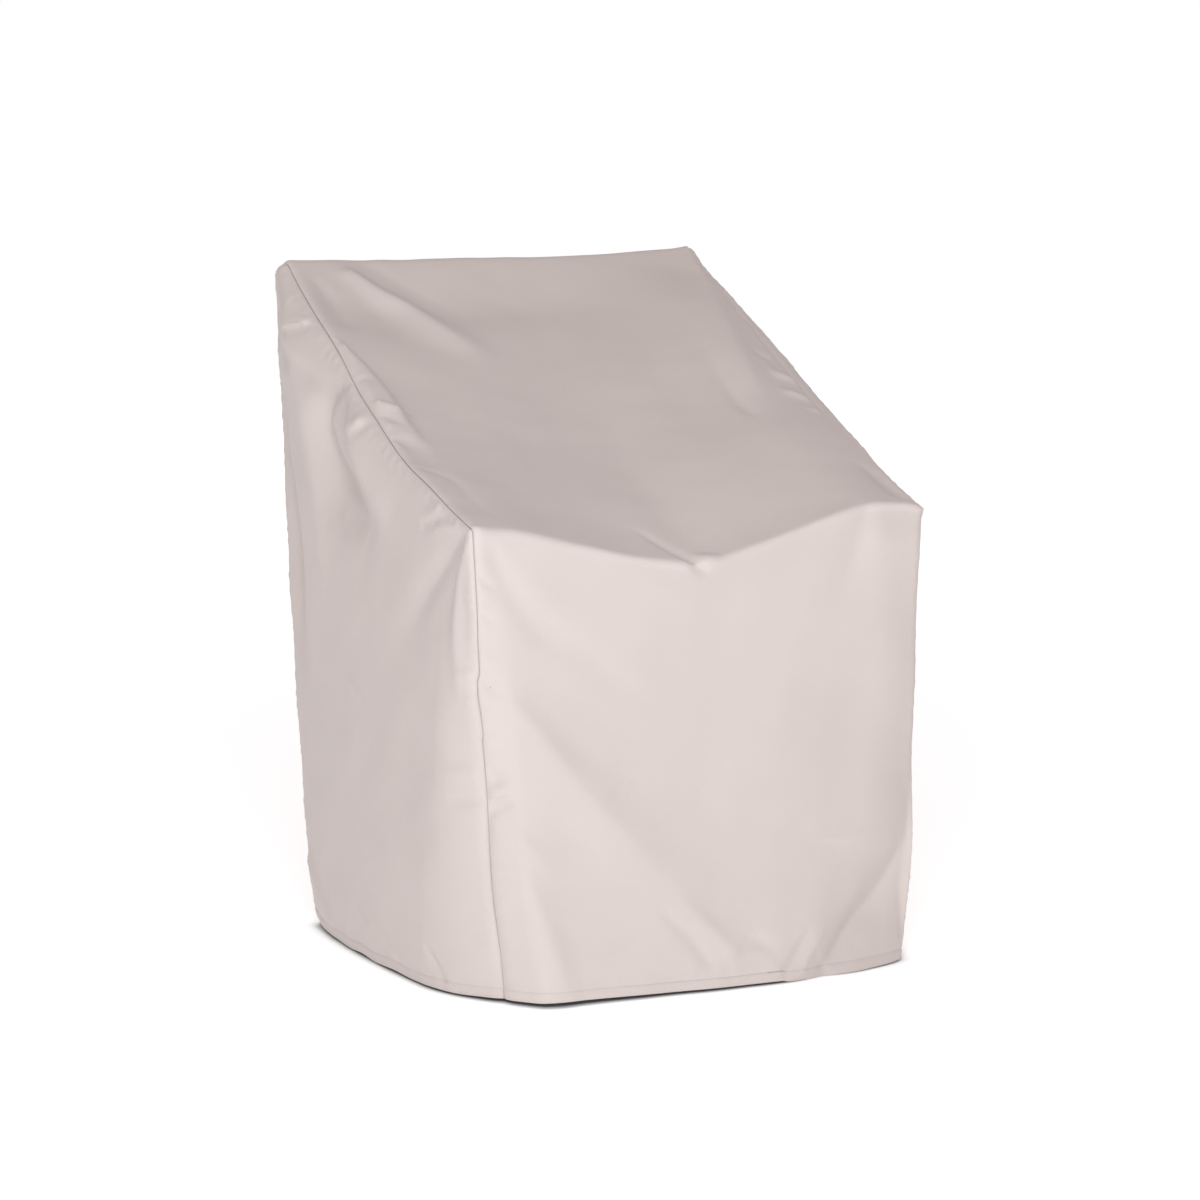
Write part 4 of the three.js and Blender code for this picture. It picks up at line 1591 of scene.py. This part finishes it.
@dataclass(frozen=True)
class PhotoCamera:
    """A camera at the photograph's angle, in degrees and millimetres."""

    azimuth: float = 27.0
    elevation: float = 5.62
    distance: float = 4919.9
    target: tuple[float, float, float] = (4.6, 0.0, 472.3)
    roll: float = -0.288
    lens: float = 108.0
    sensor: float = 36.0

    def build(self) -> None:
        """Makes the camera and gives it to the scene."""
        azimuth, elevation, roll = map(math.radians, (self.azimuth, self.elevation, self.roll))
        ahead = -direction_to(azimuth, elevation)
        right = Vector((math.cos(azimuth), -math.sin(azimuth), 0))
        up = right.cross(ahead)
        turned_right = right * math.cos(roll) + up * math.sin(roll)
        turned_up = up * math.cos(roll) - right * math.sin(roll)
        place = (Vector(self.target) - ahead * self.distance - Vector(ORIGIN)) * MM
        camera = add_object("photo_camera", bpy.data.cameras.new("photo_camera"))
        camera.data.lens = self.lens
        camera.data.sensor_width = self.sensor
        rotation = Matrix((turned_right, turned_up, -ahead)).transposed().to_4x4()
        camera.matrix_world = Matrix.Translation(place) @ rotation
        bpy.context.scene.camera = camera


@dataclass(frozen=True)
class Softbox:
    """A large soft light, given by the direction that it comes from and its distance.

    Its angles are in degrees, and its lengths in metres.
    """

    name: str
    azimuth: float
    elevation: float
    distance: float
    size: float
    power: float
    colour: tuple[float, float, float]
    aim: tuple[float, float, float] = (0, -0.1, 0.45)

    def build(self) -> None:
        """Makes the light, which lights the cover and stays out of the picture."""
        light = bpy.data.lights.new(self.name, "AREA")
        light.shape = "DISK"
        light.size = self.size
        light.energy = self.power
        light.color = self.colour
        lamp = add_object(self.name, light)
        comes_from = direction_to(math.radians(self.azimuth), math.radians(self.elevation))
        lamp.location = Vector(self.aim) + comes_from * self.distance
        lamp.rotation_euler = (-comes_from).to_track_quat("-Z", "Y").to_euler()
        lamp.visible_camera = False


@dataclass(frozen=True)
class Studio:
    """A studio: a pale floor, surroundings that light the cover and a soft key light.

    The floor glows, and its glow rises from the hem outward. The surroundings are white where the
    photo looks, behind the cover. They are dimmer ahead on the left and overhead, and nearly dark
    behind on the left and on the right. Each pair of limits is where the level changes, in the
    direction's own parts.
    """

    hem: Array
    floor_size: float = 40.0
    floor_drop: float = 0.0028
    floor_colour: tuple[float, float, float] = (0.9, 0.9, 0.9)
    floor_roughness: float = 0.9
    floor_glow: float = 0.5
    far_glow: float = 1.9
    # Painted shadow: the floor's glow is low under the cover and rises out from the hem, so the
    # floor is darker beneath and beside it.
    glow_with_painted_shadow: tuple[tuple[float, float], ...] = (
        (0.985, 0.05), (1.0, 0.2), (1.012, 0.6), (1.04, 0.9), (1.1, 1.0),
    )
    backdrop: float = 1.0
    ahead_left: float = 0.55
    behind_left: float = 0.1
    right: float = 0.07
    overhead: float = 0.55
    overhead_colour: tuple[float, float, float] = (1.0, 0.9, 0.9)
    right_limits: tuple[float, float] = (-0.6, 0.6)
    behind_limits: tuple[float, float] = (-0.4, 0.4)
    view_across: tuple[float, float] = (-0.15, 0.2)
    view_behind: tuple[float, float] = (0.25, 0.7)
    overhead_limits: tuple[float, float] = (0.25, 0.7)
    key: Softbox = Softbox("key_softbox", 27, 22, 3.8, 1.2, 71, (0.935, 1.0, 1.03))

    def build(self) -> None:
        """Makes the floor, the surroundings and the light."""
        self.build_floor()
        self.build_surroundings()
        self.key.build()
        bpy.context.scene.view_settings.view_transform = "Standard"

    def build_floor(self) -> None:
        """Makes the floor, in rings round the hem that each have their own glow, low under and near
        the hem as painted shadow.
        """
        half, count = self.floor_size / 2, len(self.hem)
        outlines = [self.hem * scale for scale, _ in self.glow_with_painted_shadow]
        reach = half / np.abs(self.hem).max(1, keepdims=True)
        outlines.append(self.hem * reach)
        glow = [share for _, share in self.glow_with_painted_shadow] + [self.far_glow]
        points = np.concatenate([np.pad(outline, ((0, 0), (0, 1))) for outline in outlines])
        ring = np.arange(count)
        faces = [ring.tolist()]
        for start in range(0, count * (len(outlines) - 1), count):
            here, onward = start + ring, start + np.roll(ring, -1)
            faces += np.stack([here, here + count, onward + count, onward], -1).tolist()
        mesh = bpy.data.meshes.new("floor")
        mesh.from_pydata(points.tolist(), [], faces)
        shares = mesh.attributes.new("glow", "FLOAT", "POINT")
        shares.data.foreach_set("value", np.repeat(glow, count).astype(np.float32))
        floor = add_object("floor", mesh)
        floor.location.z = -self.floor_drop
        material = bpy.data.materials.new("pale_floor")
        nodes = Nodes(material)
        share = nodes.add("ShaderNodeAttribute", "Fac", attribute_name="glow")
        strength = {0: share, 1: self.floor_glow}
        surface = {
            "Base Color": (*self.floor_colour, 1),
            "Roughness": self.floor_roughness,
            "Emission Color": WHITE,
            "Emission Strength": nodes.add(
                "ShaderNodeMath", "Value", strength, operation="MULTIPLY"
            ),
        }
        nodes.feed(nodes.tree.nodes["Principled BSDF"], surface)
        mesh.materials.append(material)

    def build_surroundings(self) -> None:
        """Makes the surroundings, whose level depends on the direction."""
        world = bpy.data.worlds.new("white_studio")
        bpy.context.scene.world = world
        nodes = Nodes(world)
        direction = nodes.add("ShaderNodeTexCoord", "Generated")
        x, y, z = nodes.add("ShaderNodeSeparateXYZ", "X", {"Vector": direction}).node.outputs
        left = nodes.fade(y, self.behind_limits, (self.ahead_left, self.behind_left))
        in_view = nodes.add(
            "ShaderNodeMath",
            "Value",
            {0: nodes.fade(x, self.view_across), 1: nodes.fade(y, self.view_behind)},
            operation="MULTIPLY",
        )
        up = nodes.fade(z, self.overhead_limits)
        level = left
        for share, other in (
            (nodes.fade(x, self.right_limits), self.right),
            (in_view, self.backdrop),
            (up, self.overhead),
        ):
            mixed = {"Factor": share, "A": level, "B": other}
            level = nodes.add("ShaderNodeMix", "Result", mixed)
        tint = {"Factor": up, "A": WHITE, "B": (*self.overhead_colour, 1)}
        colour = nodes.add("ShaderNodeMix", "Result", tint, data_type="RGBA")
        nodes.feed(nodes.tree.nodes["Background"], {"Strength": level, "Color": colour})


def hem_outline(
    pieces: list[bpy.types.Object], below: float = 0.012, sectors: int = 240
) -> Array:
    """Finds the outline of the cover's hem on the floor.

    Args:
        pieces: The pieces of the cover.
        below: The height below which a point belongs to the hem.
        sectors: The number of directions from the origin that get a point each.

    Returns:
        The outline's points in metres, in order around the cover.
    """
    low = np.array(
        [point.co[:2] for piece in pieces for point in piece.data.vertices if point.co.z < below]
    )
    turns = np.arctan2(low[:, 1], low[:, 0]) / math.tau + 0.5
    sector_of = np.floor(turns * sectors).astype(int) % sectors
    parts = [low[sector_of == sector] for sector in range(sectors)]
    return np.array([part[np.linalg.norm(part, axis=1).argmax()] for part in parts if len(part)])


def main() -> None:
    """Builds the studio and the cover, and reports each piece."""
    logging.basicConfig(level=logging.INFO, format="%(name)s: %(message)s")
    PhotoCamera().build()
    drape, finishes = Drape(), Finishes.build()
    centre = CentrePanel(drape)
    pieces = centre.build(finishes)
    for side, folds, area, seed in (
        (Side.LEFT, LEFT_FOLDS, 0.49, 21),
        (Side.RIGHT, RIGHT_FOLDS, 0.50, 31),
    ):
        panel = SidePanel(drape, side, folds, area, seed)
        pieces += panel.build(finishes, centre.name)
    Studio(hem_outline(pieces)).build()
    for piece in pieces:
        LOG.info("%s: %d faces", piece.name, len(piece.data.polygons))


if __name__ == "__main__":
    main()
